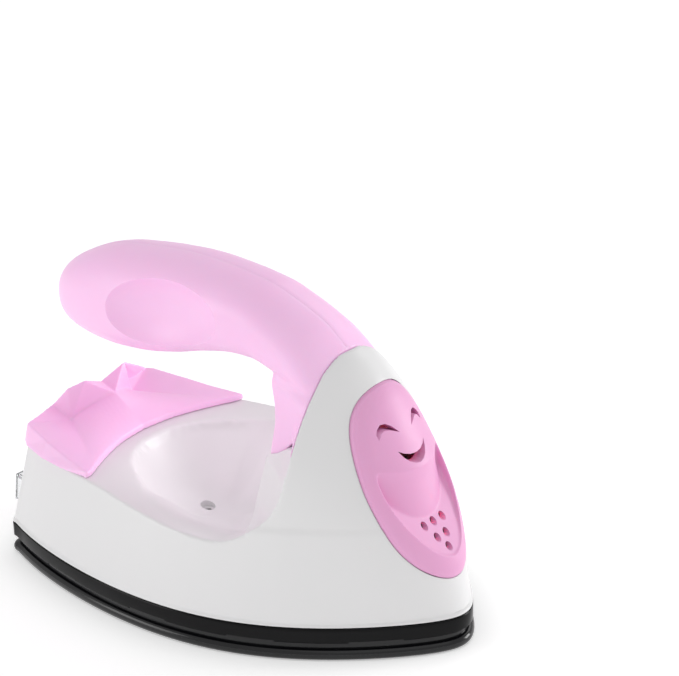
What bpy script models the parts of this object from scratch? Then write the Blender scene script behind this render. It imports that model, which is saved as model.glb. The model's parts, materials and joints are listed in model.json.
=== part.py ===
"""Mini craft iron: a hand-sized iron with a flat coated sole, a white shell and a pink handle.

The nose points along -Y, the heel along +Y, up is +Z, and the sole's face lies at Z = 0.
"""

import math

import bmesh
import bpy
from mathutils import Matrix, Vector

MM = 0.001


def mm(*values):
    """Lengths in millimetres as script units."""
    return tuple(value * MM for value in values)


def mm_rows(*rows):
    return tuple(mm(*row) for row in rows)


def from_heel(*rows):
    """Rows whose second number says how far a point lies ahead of the heel."""
    return tuple((row[0] * MM, HEEL_Y - row[1] * MM) + mm(*row[2:]) for row in rows)


GAP = 0.15 * MM
OVERRUN = 3.0 * MM
FAR = 60.0 * MM
WELD = 0.001 * MM

# sole and its outline; the shares are the coefficients of the half width over the sole's length
SOLE_LENGTH = 105.0 * MM
NOSE_Y = -SOLE_LENGTH / 2
HEEL_Y = SOLE_LENGTH / 2
OUTLINE_SHARES = (0.345, 1.2379, -3.346, 3.0508, -1.0758)
OUTLINE_STEPS = 19
OUTLINE_CROWDING = 1.35
HEEL_CORNER_RADIUS = 2.3 * MM
HEEL_CORNER_LEAST = 0.4 * MM
HEEL_CORNER_STEPS = 4
SOLE_THICKNESS = 2.4 * MM
SOLE_EDGE_DEPTH = 1.15 * MM
PLATFORM_TOP = 3.7 * MM
PLATFORM_INSET = 1.2 * MM
PLATFORM_STEP = 0.02 * MM
BORE_FLOOR = 1.3 * MM
POST_FOOT = 3.0 * MM
POST_TOP = 7.2 * MM
POST_RADIUS = 2.7 * MM
PAD_PLACE = mm(0.0, -28.0)
PAD_RADIUS = 6.2 * MM
PAD_TOP = 4.4 * MM

# skirt
SKIRT_BOTTOM = PLATFORM_TOP + GAP
SKIRT_TOP = 7.2 * MM
SKIRT_INSET = 0.2 * MM
SKIRT_LIP = 0.35 * MM
SKIRT_CHAMFER = 0.25 * MM
SKIRT_WEB_BOTTOM = 5.8 * MM
SKIRT_WALL = 2.2 * MM
SKIRT_WINDOW_INSET = 7.6 * MM
STEP_LENGTH = 12.6 * MM
STEP_HEIGHT = 0.45 * MM
STEP_DEPTH = 1.0 * MM
STEP_COUNT = 8

# shell: outer side, nose column and rim
SHELL_BOTTOM = SKIRT_TOP + GAP
SHELL_INSET = 0.45 * MM
SHELL_WALL = 2.6 * MM
ARCH_Y = -24.7 * MM
SEAM_Z = 26.4 * MM
HEEL_LEAN_SHARE = 0.14
RIM_SPAN = 18.0 * MM
RIM_SHARES = (
    (-0.5, 0.9), (-0.25, 0.9), (-0.1, 0.905), (0.0, 0.885), (0.1, 0.855), (0.2, 0.83), (0.3, 0.818), (0.5, 0.81),
)
NOSE_PROFILE = mm_rows(
    (7.2, -52.3), (11.0, -51.6), (15.0, -50.8), (20.0, -49.4), (25.0, -47.6), (30.0, -45.5), (35.0, -42.8),
    (40.0, -39.9), (45.0, -37.2), (49.0, -34.8), (52.5, -32.2), (55.5, -29.0), (57.0, -26.6), (57.5, -25.6),
)
ARCH_WIDTHS = mm_rows(
    (7.2, 26.0), (25.2, 23.4), (28.6, 22.9), (36.0, 21.3), (40.0, 19.9), (43.5, 18.1), (47.3, 15.6),
    (50.5, 13.0), (53.2, 10.4), (55.2, 7.8), (56.5, 5.0), (57.2, 2.6), (57.5, 1.0),
)
ROUNDNESS_POWER = 0.5
ROUND_FROM = 8.0 * MM
ROUND_TO = 28.0 * MM
STEEP_FROM = 30.0 * MM
STEEP_TO = 47.0 * MM
STEEP_SHARE = 1.35
LEAST_ROOM = 1.0 * MM
HEEL_LEAN_POWER = 4
NOSE_POINTS = 12
NOSE_CROWDING = 1.8
SHELL_LEVELS = mm(11.0, 16.0, 21.0, 26.4, 31.0, 36.0, 40.0, 43.5, 47.3, 50.5, 53.2, 55.2, 56.5, 57.2)
RIM_PROFILE = mm_rows(
    (62.0, 25.1), (30.0, 25.15), (22.0, 25.0), (13.0, 24.4), (4.0, 23.7), (-4.0, 23.1), (-9.0, 22.9),
    (-13.0, 23.2), (-16.0, 24.2), (-18.6, 25.9), (-21.7, 28.6), (-23.4, 32.0), (-24.2, 36.0), (-24.7, 41.5),
    (-24.7, 75.0), (62.0, 75.0),
)
SADDLE_FRONT = -29.0 * MM
SADDLE_LIP = 0.7 * MM
SADDLE_ROWS = mm_rows(
    (13.5, 12.4, -8.6, -12.5), (19.0, 12.3, -8.9, -14.5), (24.0, 12.0, -9.2, -17.0), (28.6, 11.2, -9.9, -21.7),
    (32.0, 10.4, -10.5, -23.4), (34.25, 10.2, -10.9, -24.0), (36.0, 10.9, -14.3, -24.2),
    (38.6, 12.4, -18.5, -24.5), (40.45, 17.0, -23.6, -24.6),
)
BOWL_CENTRE_Y = 10.5 * MM
BOWL_FLOOR = 11.8 * MM
BOWL_LIP = 25.1 * MM
BOWL_RISER = 1.5 * MM
BOWL_RISER_FADE_SHARES = (0.36, 0.58)
BOWL_REACHES = (
    (0.0, 17.9 * MM), (0.33, 17.9 * MM), (0.394, 18.8 * MM), (0.467, 20.8 * MM), (0.54, 24.0 * MM),
    (0.6, 27.4 * MM), (0.66, 30.5 * MM), (0.72, 34.0 * MM), (0.78, 33.5 * MM), (0.84, 29.0 * MM),
    (0.92, 23.5 * MM), (1.0, 21.5 * MM),
)
BOWL_SHARES = (0.12, 0.34, 0.52, 0.68, 0.83, 1.0)
BOWL_POWER = 2.1
BOWL_EDGE = 0.4 * MM
BOWL_ROOF = 6.0 * MM
BOWL_GROWTH = 1.5 * MM
BOWL_POINTS = 36

# shell: inside
DECK_THICKNESS = 1.9 * MM
HOLLOW_LEVELS = mm(4.3, 14.0, 22.0, 30.0, 37.0, 44.0)
HOLLOW_PROFILE = mm_rows(
    (62.0, 20.9), (-16.0, 20.9), (-27.5, 28.0), (-31.8, 30.5), (-31.8, 75.0), (62.0, 75.0),
)
DISH_PLACE = mm(0.0, 15.0)
DISH_HOLE_RADIUS = 1.95 * MM
DISH_BOSS_RADIUS = 3.6 * MM
DISH_BOSS_TOP = 11.0 * MM
DISH_SEAT_Z = 9.2 * MM
HEEL_BOSS_PLACE = (12.0 * MM, HEEL_Y - 12.5 * MM)
HEEL_BOSS_RADIUS = 3.8 * MM
HEEL_BOSS_TOP = 22.0 * MM
HEEL_SEAT_Z = 14.0 * MM
HEEL_HOLE_RADIUS = 2.2 * MM
BORE_RADIUS = 1.25 * MM

# handle: rows of y, centre height, half width and half height
HANDLE_SECTIONS = mm_rows(
    (51.6, 55.0, 1.3, 1.2), (51.0, 55.0, 3.2, 3.0), (49.6, 55.1, 5.4, 5.3), (47.2, 55.3, 7.3, 7.3),
    (43.2, 55.8, 8.9, 9.0), (38.0, 56.4, 10.1, 10.4), (31.5, 57.0, 10.9, 11.2), (25.0, 57.6, 11.3, 11.3),
    (17.0, 58.6, 11.4, 10.8), (9.0, 59.6, 10.9, 9.7), (2.0, 59.9, 10.4, 8.7), (-5.0, 59.4, 10.3, 8.0),
    (-11.0, 57.6, 10.5, 7.8), (-16.0, 55.3, 10.8, 8.0), (-20.5, 52.3, 11.3, 8.5), (-24.55, 49.0, 11.6, 8.2),
)
HANDLE_SQUARE_BACK_SHARE = 2.25
HANDLE_SQUARE_FRONT_SHARE = 1.8
HANDLE_SQUARE_SPAN = mm(-24.0, -4.0)
HANDLE_POINTS = 28
HANDLE_LONGEST = 3.0 * MM
STEM_ROWS = mm_rows(
    (34.4, 9.9, -10.8, -14.2), (37.0, 10.0, -11.4, -16.4), (40.0, 10.4, -12.4, -19.6), (43.0, 10.8, -13.2, -23.2),
    (46.0, 11.0, -13.4, -24.4), (51.0, 10.6, -12.6, -24.4), (55.5, 8.6, -13.0, -22.0),
)
STEM_CORNER = 2.0 * MM
STEM_FLARE_SHARE = 0.3
STEM_BACK_BULGE = 0.3 * MM
FLARE_BACK_Y = -13.4 * MM
FLARE_FRONT_Y = ARCH_Y + GAP
FLARE_INSET = 0.65 * MM
FLARE_LOW = 40.6 * MM
FLARE_LEVELS = mm(43.5, 47.3, 50.5, 53.2, 55.2, 56.2)
FLARE_STEPS = 5
FLARE_POWER = 1.9
FLARE_NECK = 9.0 * MM
FLARE_NECK_RISE = 4.2 * MM
FLARE_NECK_TOP_SHARE = 0.85
FLARE_CREST = 3.0 * MM
FLARE_TIP = 0.6 * MM
TENON_SIZE = mm(13.0, 7.0, 7.0)
TENON_CENTRE = mm(0.0, -26.05, 44.4)
POCKET_GROWTH = 0.3 * MM
SCALLOP_CENTRE = mm(18.0, 15.8, 60.0)
SCALLOP_RADII = mm(11.5, 20.5, 10.3)
SCALLOP_TILT = math.radians(-8.0)
HALF_BOX_SIZE = mm(40.0, 120.0, 60.0)
HALF_BOX_Y = 10.0 * MM
HALF_BOX_Z = 56.0 * MM
TENON_SCREW_PLACE = mm(4.0, 44.2)
TENON_SCREW_SEAT_Y = -31.5 * MM
TENON_SCREW_REACH = 5.0 * MM
TENON_SCREW_WELL_RADIUS = 2.3 * MM
JOINT_SCREW_PLACES = mm_rows((44.0, 55.5), (-7.0, 58.0))
JOINT_SEAT_X = 5.5 * MM
JOINT_TIP_X = -5.0 * MM

# heel cover; the rows hold x, how far ahead of the heel, and z
COVER_FLOOR = 25.3 * MM
COVER_BOTTOM_POINTS = from_heel(
    (0.0, 20.1), (7.0, 20.9), (12.0, 22.3), (18.0, 24.6), (23.0, 26.9), (24.9, 27.2),
    (24.6, 19.5), (23.2, 12.0), (20.6, 5.1), (18.6, 2.6), (0.0, 2.6),
)
COVER_EDGE_POINTS = from_heel(
    (0.0, 19.9, 26.6), (7.0, 20.7, 26.6), (12.0, 22.0, 26.6), (18.0, 24.3, 26.5), (23.0, 26.7, 26.4),
    (24.7, 27.1, 26.5), (22.9, 19.5, 27.3), (21.2, 12.0, 28.4), (19.4, 5.7, 29.5), (18.6, 3.9, 29.8),
    (10.6, 3.6, 30.2),
)
COVER_CREASE_POINTS = from_heel((19.5, 22.1, 27.2), (14.8, 16.0, 27.6), (9.5, 7.9, 28.0), (0.0, 12.3, 32.1))
COVER_RIDGE_POINTS = from_heel((8.8, 6.7, 35.6), (6.1, 9.5, 36.8), (0.0, 8.1, 33.8))
COVER_PEG_PLACE = (5.0 * MM, HEEL_Y - 6.0 * MM)
COVER_PEG_RADIUS = 1.5 * MM
COVER_PEG_LOW = 21.6 * MM
COVER_PEG_HIGH = 27.0 * MM

# nose panel: rows of height and half width
PANEL_SECTIONS = mm_rows(
    (14.6, 0.0), (14.9, 2.2), (15.7, 4.2), (16.5, 5.5), (18.0, 7.0), (19.7, 8.4), (21.7, 9.6), (24.3, 10.5),
    (27.5, 11.2), (30.8, 11.7), (33.7, 11.8), (36.8, 11.6), (40.0, 11.1), (42.7, 10.5), (45.3, 9.7),
    (47.8, 8.4), (50.0, 6.8), (51.7, 5.0), (52.6, 2.8), (52.8, 0.0),
)
PANEL_MIDDLE_Z = 34.0 * MM
PANEL_PROUD = 0.75 * MM
PANEL_DEPTH = 1.3 * MM
PANEL_REACH = mm(-60.0, -18.0)
OPENING_SECTIONS = mm_rows(
    (18.6, 0.0), (19.2, 3.0), (21.9, 5.8), (24.7, 7.9), (28.0, 9.6), (31.4, 10.6), (35.0, 10.8), (39.0, 10.3),
    (43.0, 9.4), (46.4, 7.6), (46.4, 0.0),
)
OPENING_REACH = mm(-60.0, -32.9)
SCOOP_EDGE = mm_rows(
    (19.4, 0.3), (20.0, 2.3), (21.9, 4.7), (24.7, 6.8), (28.0, 8.5), (31.4, 9.5), (34.6, 9.8),
    (37.6, 9.5), (39.6, 9.0),
)
SCOOP_LEVELS = mm(19.4, 20.0, 21.0, 22.4, 23.8, 25.0, 25.8, 26.6, 28.0, 30.0, 32.2, 34.6, 37.0, 38.4, 39.6)
SCOOP_POINTS = 11
SCOOP_BEND = 22.0 * MM
SHELF_START = mm(-48.9, 20.3)
SHELF_SLOPE = 0.85
TONGUE_PROFILE = mm_rows(
    (19.4, -40.0), (25.8, -43.8), (28.0, -43.6), (31.0, -43.0), (34.6, -42.3), (37.0, -42.3),
    (38.4, -43.4), (39.6, -44.6),
)
BUMP_THICKNESS = 1.4 * MM
BUMP_SIDE = 0.9 * MM
BUMP_BACK_OVERLAP = 0.5 * MM
EYE_POINTS = mm_rows(
    (6.7, 42.9), (6.7, 44.0), (6.1, 44.9), (5.2, 45.5), (4.1, 45.5), (3.1, 44.8), (2.1, 43.4), (3.2, 44.0),
    (4.1, 44.4), (5.0, 44.5), (5.8, 44.1), (6.3, 43.4),
)
MOUTH_POINTS = mm_rows(
    (3.7, 40.6), (2.9, 39.2), (2.0, 38.2), (1.0, 37.7), (0.0, 37.5), (-1.0, 37.7), (-2.0, 38.2), (-2.9, 39.2),
    (-3.7, 40.6), (-2.6, 39.8), (-1.3, 39.3), (0.0, 39.1), (1.3, 39.3), (2.6, 39.8),
)
SLOT_REACH = mm(-60.0, -34.0)
VENT_PLACES = mm_rows((-2.9, 25.3), (0.0, 25.3), (2.9, 25.3), (-1.45, 22.9), (1.45, 22.9), (0.0, 20.9))
VENT_RADIUS = 0.8 * MM
PEG_PLACES = mm_rows((0.0, 17.2), (0.0, 49.6))
PEG_RADIUS = 1.0 * MM
PEG_DEPTH = 2.6 * MM

# heel feet and power inlet
FOOT_PLACE = mm(14.0, 11.6)
FOOT_OUTLINE = mm_rows((-3.2, -3.2), (3.2, -3.2), (3.2, -1.8), (-1.8, -1.8), (-1.8, 3.2), (-3.2, 3.2))
FOOT_LENGTH = 4.2 * MM
FOOT_BASE_SIZE = mm(7.2, 1.2, 7.2)
FOOT_PEG_RADIUS = 1.2 * MM
FOOT_PEG_DEPTH = 1.9 * MM
INLET_SIZE = mm(15.0, 6.0, 9.6)
INLET_BACK_Y = HEEL_Y - 5.4 * MM
INLET_PORT_SIZE = mm(11.0, 12.0, 5.0)
INLET_PORT_Z = 12.4 * MM
INLET_PIN_X = 2.5 * MM
INLET_PIN_RADIUS = 0.8 * MM
INLET_PIN_REACH = (INLET_BACK_Y - 6.9 * MM, INLET_BACK_Y + 3.1 * MM)
INLET_LEAD_Y = INLET_PIN_REACH[0] - 0.3 * MM

# heater
LAYER_ROWS = 12
MICA = mm(8.0, -18.5, 36.0, 3.85, 4.15)
ELEMENT = mm(9.0, -17.5, 34.0, 4.3, 4.9)
ELEMENT_SLOT = mm(4.6, -12.0)
CLAMP = mm(10.0, -16.5, 33.0, 5.05, 5.65)
CLAMP_SCREW_YS = mm(-8.0, 29.0)
CLAMP_SCREW_BORE = 1.05 * MM
POST_CLEARANCE = 0.4 * MM

# fuse
FUSE_Y = 24.6 * MM
FUSE_Z = 7.5 * MM
FUSE_RADIUS = 1.6 * MM
FUSE_LENGTH = 9.0 * MM
FUSE_CLIP_WIDTH = 4.0 * MM
FUSE_CLIP_THICKNESS = 0.4 * MM
FUSE_CLIP_FEET = mm(21.4, 31.4)
FUSE_CLIP_STEPS = 8

# thermostat
CUP_RADIUS = 6.4 * MM
CUP_BOTTOM = PAD_TOP + GAP
CUP_TOP = 6.9 * MM
CUP_WALL = 0.5 * MM
CUP_EAR_SIZE = mm(22.0, 5.0, 0.6)
CUP_EAR_SCREW_X = 9.0 * MM
DISC_CLEARANCE = 0.3 * MM
DISC_RADIUS = CUP_RADIUS - CUP_WALL - DISC_CLEARANCE
DISC_THICKNESS = 0.3 * MM
THERMOSTAT_TOP = 11.0 * MM
PIN_RADIUS = 1.0 * MM
PIN_TOP = 11.35 * MM
PIN_HOLE_RADIUS = 1.2 * MM
TERMINAL_SIZE = mm(6.0, 4.0, 0.5)
TERMINAL_X = 6.2 * MM
ARM_SIZE = mm(12.4, 2.6, 0.3)
ARM_RISE = 0.65 * MM

# light
BOARD_SIZE = mm(16.0, 1.2, 16.0)
BOARD_CENTRE = mm(0.0, -34.8, 29.0)
BOARD_BOSS_PLACE = mm(5.0, 34.0)
BOARD_BOSS_RADIUS = 1.9 * MM
BOARD_BOSS_BACK = -31.0 * MM
LAMP_Z = 28.0 * MM
LAMP_RADIUS = 1.5 * MM
LAMP_LENGTH = 4.2 * MM
DOME_SHARE = 0.97

# screws: place, seat, head height, head radius, shank radius and tip
HEAD_RADIUS = 1.75 * MM
HEAD_HEIGHT = 1.1 * MM
SHANK_RADIUS = 1.05 * MM
SMALL_SHANK_RADIUS = 0.85 * MM
SCREW_TIP = 2.0 * MM
SMALL_SCREW_TIP = 1.9 * MM
SCREW_POINTS = 20
SHANK_POINTS = 10
SHANK_OVERLAP = 0.3 * MM
CROSS_WIDTH = 0.45 * MM
CROSS_LENGTH = 2.2 * MM
CROSS_DEPTH = 0.6 * MM
CROSS_SECOND_DEPTH = 0.5 * MM

# wires
WIRE_RADIUS = 0.55 * MM
WIRE_RESOLUTION = 2
WIRE_PATHS = {
    "wire_live": (
        (INLET_PIN_X, INLET_LEAD_Y, INLET_PORT_Z), (INLET_PIN_X, INLET_LEAD_Y - 2.9 * MM, 12.0 * MM),
        *mm_rows((4.0, 31.0, 9.6), (7.4, 26.6, 8.0), (7.0, 24.6, 7.5), (4.8, 24.6, 7.5)),
    ),
    "wire_fuse": mm_rows(
        (-4.8, 24.6, 7.5), (-7.0, 24.6, 7.5), (-9.5, 20.0, 8.2), (-10.0, 2.0, 8.4), (-10.0, -22.0, 11.0),
        (-8.6, -26.0, 12.4), (-8.6, -28.0, 12.35),
    ),
    "wire_heater": mm_rows(
        (8.6, -28.0, 12.35), (8.6, -26.0, 12.4), (11.0, -21.0, 10.4), (12.0, -8.0, 7.4), (12.0, 14.0, 6.6),
        (12.0, 33.0, 6.4), (12.0, 34.0, 5.9), (11.6, 33.7, 5.6),
    ),
    "wire_neutral": (
        (-INLET_PIN_X, INLET_LEAD_Y, INLET_PORT_Z), (-INLET_PIN_X, INLET_LEAD_Y - 2.3 * MM, 12.0 * MM),
        (-6.0 * MM, INLET_LEAD_Y - 3.3 * MM, 8.4 * MM), *mm_rows((-10.8, 35.2, 6.2), (-11.6, 33.7, 5.6)),
    ),
    "lamp_wire_left": mm_rows(
        (-3.0, -36.2, 22.4), (-3.0, -37.4, 20.6), (-5.0, -37.0, 16.0), (-6.8, -32.0, 13.0), (-7.2, -28.6, 12.4),
    ),
    "lamp_wire_right": mm_rows(
        (3.0, -36.2, 22.4), (3.0, -37.4, 20.6), (5.0, -37.0, 16.0), (6.8, -32.0, 13.0), (7.2, -28.6, 12.4),
    ),
}
WIRE_LOOKS = {
    "wire_live": "wire_red", "wire_fuse": "wire_red", "wire_heater": "wire_red", "wire_neutral": "wire_blue",
    "lamp_wire_left": "wire_red", "lamp_wire_right": "wire_blue",
}

MATERIALS = {
    "coated_black": ((0.018, 0.018, 0.020), 0.42, 0.0),
    "gloss_black": ((0.010, 0.010, 0.011), 0.12, 0.0),
    "shell_white": ((0.80, 0.79, 0.81), 0.38, 0.0),
    "handle_pink": ((0.90, 0.53, 0.79), 0.36, 0.0),
    "panel_pink": ((0.88, 0.42, 0.70), 0.36, 0.0),
    "clear": ((0.86, 0.87, 0.88), 0.12, 0.0),
    "steel": ((0.62, 0.62, 0.63), 0.30, 1.0),
    "brass": ((0.72, 0.55, 0.26), 0.30, 1.0),
    "mica": ((0.55, 0.50, 0.40), 0.50, 0.0),
    "aluminium": ((0.75, 0.75, 0.76), 0.35, 1.0),
    "bimetal": ((0.50, 0.47, 0.42), 0.35, 1.0),
    "ceramic": ((0.86, 0.84, 0.78), 0.45, 0.0),
    "phenolic": ((0.10, 0.06, 0.04), 0.45, 0.0),
    "board_green": ((0.03, 0.16, 0.07), 0.45, 0.0),
    "lamp_red": ((0.60, 0.05, 0.05), 0.20, 0.0),
    "wire_red": ((0.55, 0.04, 0.04), 0.45, 0.0),
    "wire_blue": ((0.04, 0.10, 0.45), 0.45, 0.0),
}


def lerp(a, b, share):
    return a + (b - a) * share


def table(pairs, value):
    """Straight-line lookup in pairs sorted by their first number, in either direction."""
    ordered = sorted(pairs)
    if value <= ordered[0][0]:
        return ordered[0][1]
    for low, high in zip(ordered, ordered[1:]):
        if value <= high[0]:
            return lerp(low[1], high[1], (value - low[0]) / (high[0] - low[0]))
    return ordered[-1][1]


def smooth_table(pairs, value):
    """Lookup with a monotone cubic between the pairs."""
    ordered = sorted(pairs)
    xs = [pair[0] for pair in ordered]
    ys = [pair[1] for pair in ordered]
    if value <= xs[0]:
        return ys[0]
    if value >= xs[-1]:
        return ys[-1]
    slopes = [(ys[i + 1] - ys[i]) / (xs[i + 1] - xs[i]) for i in range(len(xs) - 1)]
    tangents = [slopes[0]]
    for before, after in zip(slopes, slopes[1:]):
        flat = before * after <= 0
        tangents.append(0.0 if flat else 2 * before * after / (before + after))
    tangents.append(slopes[-1])
    i = max(k for k in range(len(xs) - 1) if xs[k] <= value)
    width = xs[i + 1] - xs[i]
    t = (value - xs[i]) / width
    near = (1 + 2 * t) * (1 - t) ** 2 * ys[i] + t * (1 - t) ** 2 * width * tangents[i]
    far = t * t * (3 - 2 * t) * ys[i + 1] + t * t * (t - 1) * width * tangents[i + 1]
    return near + far


def base_half_width(y):
    share = min(max((y - NOSE_Y) / SOLE_LENGTH, 0.0), 1.0)
    total = sum(c * share**power for power, c in enumerate(OUTLINE_SHARES))
    return SOLE_LENGTH * math.sqrt(share) * total


def material(name):
    found = bpy.data.materials.get(name)
    if found:
        return found
    colour, roughness, metallic = MATERIALS[name]
    made = bpy.data.materials.new(name)
    made.use_nodes = True
    shader = made.node_tree.nodes["Principled BSDF"]
    shader.inputs["Base Color"].default_value = (*colour, 1.0)
    shader.inputs["Roughness"].default_value = roughness
    shader.inputs["Metallic"].default_value = metallic
    return made


def start_scene():
    for obj in list(bpy.data.objects):
        bpy.data.objects.remove(obj, do_unlink=True)
    parts = bpy.data.collections.new("mini_craft_iron")
    cutters = bpy.data.collections.new("cutters")
    cutters.hide_render = True
    for collection in (parts, cutters):
        bpy.context.scene.collection.children.link(collection)
    return parts, cutters


class Bench:
    """Adds objects to the part's collection or, for helpers, to the cutters'."""

    def __init__(self):
        self.parts, self.cutters = start_scene()

    def add(self, name, mesh, look=None):
        obj = bpy.data.objects.new(name, mesh)
        if look is None:
            self.cutters.objects.link(obj)
            obj.hide_render = True
            obj.display_type = "WIRE"
        else:
            self.parts.objects.link(obj)
            mesh.materials.clear()
            mesh.materials.append(material(look))
        return obj


def mesh_from(name, bm, smooth=False):
    bmesh.ops.recalc_face_normals(bm, faces=bm.faces)
    mesh = bpy.data.meshes.new(name)
    bm.to_mesh(mesh)
    bm.free()
    for face in mesh.polygons:
        face.use_smooth = smooth
    return mesh


def loft(name, rings, smooth=True):
    """Closed skin over rings of equal point count, with a flat face on each end."""
    bm = bmesh.new()
    rows = [[bm.verts.new(point) for point in ring] for ring in rings]
    count = len(rows[0])
    for low, high in zip(rows, rows[1:]):
        for i in range(count):
            j = (i + 1) % count
            bm.faces.new((low[i], low[j], high[j], high[i]))
    bm.faces.new(rows[0])
    bm.faces.new(rows[-1])
    return mesh_from(name, bm, smooth)


def mirrored_ring(half):
    """A full ring from a half on the +X side that starts and ends on the middle plane."""
    return list(half) + [(-x, y, z) for x, y, z in reversed(half[1:-1])]


def box(name, size, centre):
    bm = bmesh.new()
    bmesh.ops.create_cube(bm, size=1.0, matrix=Matrix.Translation(centre) @ Matrix.Diagonal((*size, 1.0)))
    return mesh_from(name, bm)


def rod(name, radius, low, high, x=0.0, y=0.0, segments=24, top_radius=None):
    bm = bmesh.new()
    bmesh.ops.create_cone(
        bm,
        cap_ends=True,
        segments=segments,
        radius1=radius,
        radius2=radius if top_radius is None else top_radius,
        depth=high - low,
        matrix=Matrix.Translation((x, y, (low + high) / 2)),
    )
    return mesh_from(name, bm, True)


def tilted_rod(name, radius, length, matrix, segments=24):
    bm = bmesh.new()
    bmesh.ops.create_cone(
        bm, cap_ends=True, segments=segments, radius1=radius, radius2=radius, depth=length, matrix=matrix
    )
    return mesh_from(name, bm, True)


def ball(name, radii, matrix, segments=32, rings=20):
    bm = bmesh.new()
    bmesh.ops.create_uvsphere(
        bm, u_segments=segments, v_segments=rings, radius=1.0, matrix=matrix @ Matrix.Diagonal((*radii, 1.0))
    )
    return mesh_from(name, bm, True)


def plate(name, outline, depth, matrix):
    """A flat outline, drawn as a filled curve, given its thickness and set in place."""
    curve = bpy.data.curves.new(name, "CURVE")
    curve.dimensions = "2D"
    curve.fill_mode = "BOTH"
    curve.extrude = depth / 2
    spline = curve.splines.new("POLY")
    spline.points.add(len(outline) - 1)
    for point, (u, v) in zip(spline.points, outline):
        point.co = (u, v, 0.0, 1.0)
    spline.use_cyclic_u = True
    return solid_from_curve(name, curve, matrix)


def wire(name, path, radius):
    curve = bpy.data.curves.new(name, "CURVE")
    curve.dimensions = "3D"
    curve.bevel_depth = radius
    curve.bevel_resolution = WIRE_RESOLUTION
    curve.use_fill_caps = True
    spline = curve.splines.new("POLY")
    spline.points.add(len(path) - 1)
    for point, place in zip(spline.points, path):
        point.co = (*place, 1.0)
    return solid_from_curve(name, curve, Matrix.Identity(4))


def solid_from_curve(name, curve, matrix):
    helper = bpy.data.objects.new(name, curve)
    bpy.context.scene.collection.objects.link(helper)
    bpy.context.view_layer.update()
    graph = bpy.context.evaluated_depsgraph_get()
    made = bpy.data.meshes.new_from_object(helper.evaluated_get(graph))
    bpy.data.objects.remove(helper, do_unlink=True)
    bm = bmesh.new()
    bm.from_mesh(made)
    bmesh.ops.remove_doubles(bm, verts=bm.verts, dist=WELD)
    bm.transform(matrix)
    bpy.data.meshes.remove(made)
    return mesh_from(name, bm)


def boolean(obj, other, operation):
    modifier = obj.modifiers.new(other.name, "BOOLEAN")
    modifier.operation = operation
    modifier.solver = "EXACT"
    modifier.object = other
    return obj


def cut(obj, *others):
    for other in others:
        boolean(obj, other, "DIFFERENCE")


def join(obj, *others):
    for other in others:
        boolean(obj, other, "UNION")


# outlines


def side_points(rear):
    """Half outline of the sole from the nose to a place near the heel, close together at the nose."""
    points = []
    for i in range(OUTLINE_STEPS + 1):
        step = i / OUTLINE_STEPS
        y = lerp(NOSE_Y, rear, lerp(step, step**3, 0.5) ** OUTLINE_CROWDING)
        points.append((base_half_width(y), y))
    return points


def half_outline(inset):
    """Half outline on the +X side, moved inwards by inset, nose first."""
    radius = max(HEEL_CORNER_RADIUS - inset, HEEL_CORNER_LEAST)
    slope = (base_half_width(HEEL_Y) - base_half_width(HEEL_Y - OVERRUN)) / OVERRUN
    points = side_points(HEEL_Y - inset - radius - inset * slope / math.hypot(1.0, slope))
    moved = [(0.0, NOSE_Y + inset)]
    for before, (x, y), after in zip(points, points[1:], points[2:] + points[-1:]):
        dx, dy = after[0] - before[0], after[1] - before[1]
        length = math.hypot(dx, dy)
        moved.append((max(x - dy / length * inset, PLATFORM_STEP), y + dx / length * inset))
    x, y = moved[-1]
    for i in range(1, HEEL_CORNER_STEPS + 1):
        angle = math.pi / 2 * i / HEEL_CORNER_STEPS
        moved.append((x - radius * (1.0 - math.cos(angle)), y + radius * math.sin(angle)))
    moved.append((0.0, moved[-1][1]))
    return moved


def outline_ring(inset, z):
    return mirrored_ring([(x, y, z) for x, y in half_outline(inset)])


def stack(name, levels, smooth=True):
    """Solid whose outline follows the sole, from (inset, z) pairs."""
    return loft(name, [outline_ring(inset, z) for inset, z in levels], smooth)


# shell surfaces


def between(value, low, high):
    """How far a value lies from low to high, held within 0 and 1."""
    return min(max((value - low) / (high - low), 0.0), 1.0)


def rim_share(y):
    return smooth_table([(share * SOLE_LENGTH, value) for share, value in RIM_SHARES], y)


def hull_half(y, z):
    """Half width of the shell's outer side below the seam, behind the arch plane."""
    fall = (z - SKIRT_TOP) / RIM_SPAN
    return base_half_width(y) * (1.0 - (1.0 - rim_share(y)) * fall)


def arch_half(z):
    """Half width of the outer side at the arch plane."""
    return hull_half(ARCH_Y, z) if z <= SEAM_Z else smooth_table(ARCH_WIDTHS, z)


def side_half(y, z):
    """Half width of the whole outer side behind the arch plane, at any height."""
    low = min(z, SEAM_Z)
    return hull_half(y, low) * arch_half(z) / hull_half(ARCH_Y, low)


def shape_share(along, z):
    """Half width of the nose as a share of the arch's, from the nose tip (0) to the arch plane (1)."""
    base = base_half_width(lerp(NOSE_Y, ARCH_Y, along)) / base_half_width(ARCH_Y)
    return lerp(base, along**ROUNDNESS_POWER, between(z, ROUND_FROM, ROUND_TO))


def nose_offset(z, inset):
    """An inset measured level at height z, longer where the nose leans back."""
    return inset * lerp(1.0, STEEP_SHARE, between(z, STEEP_FROM, STEEP_TO))


def front_points(z, inset):
    """(x, y) from the nose tip to the arch plane at height z."""
    nose = smooth_table(NOSE_PROFILE, z) + nose_offset(z, inset)
    width = arch_half(z) - nose_offset(z, inset)
    points = [(0.0, nose)]
    for i in range(1, NOSE_POINTS):
        along = (i / (NOSE_POINTS - 1)) ** NOSE_CROWDING
        points.append((width * shape_share(along, z), lerp(nose, ARCH_Y, along)))
    return points


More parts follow.
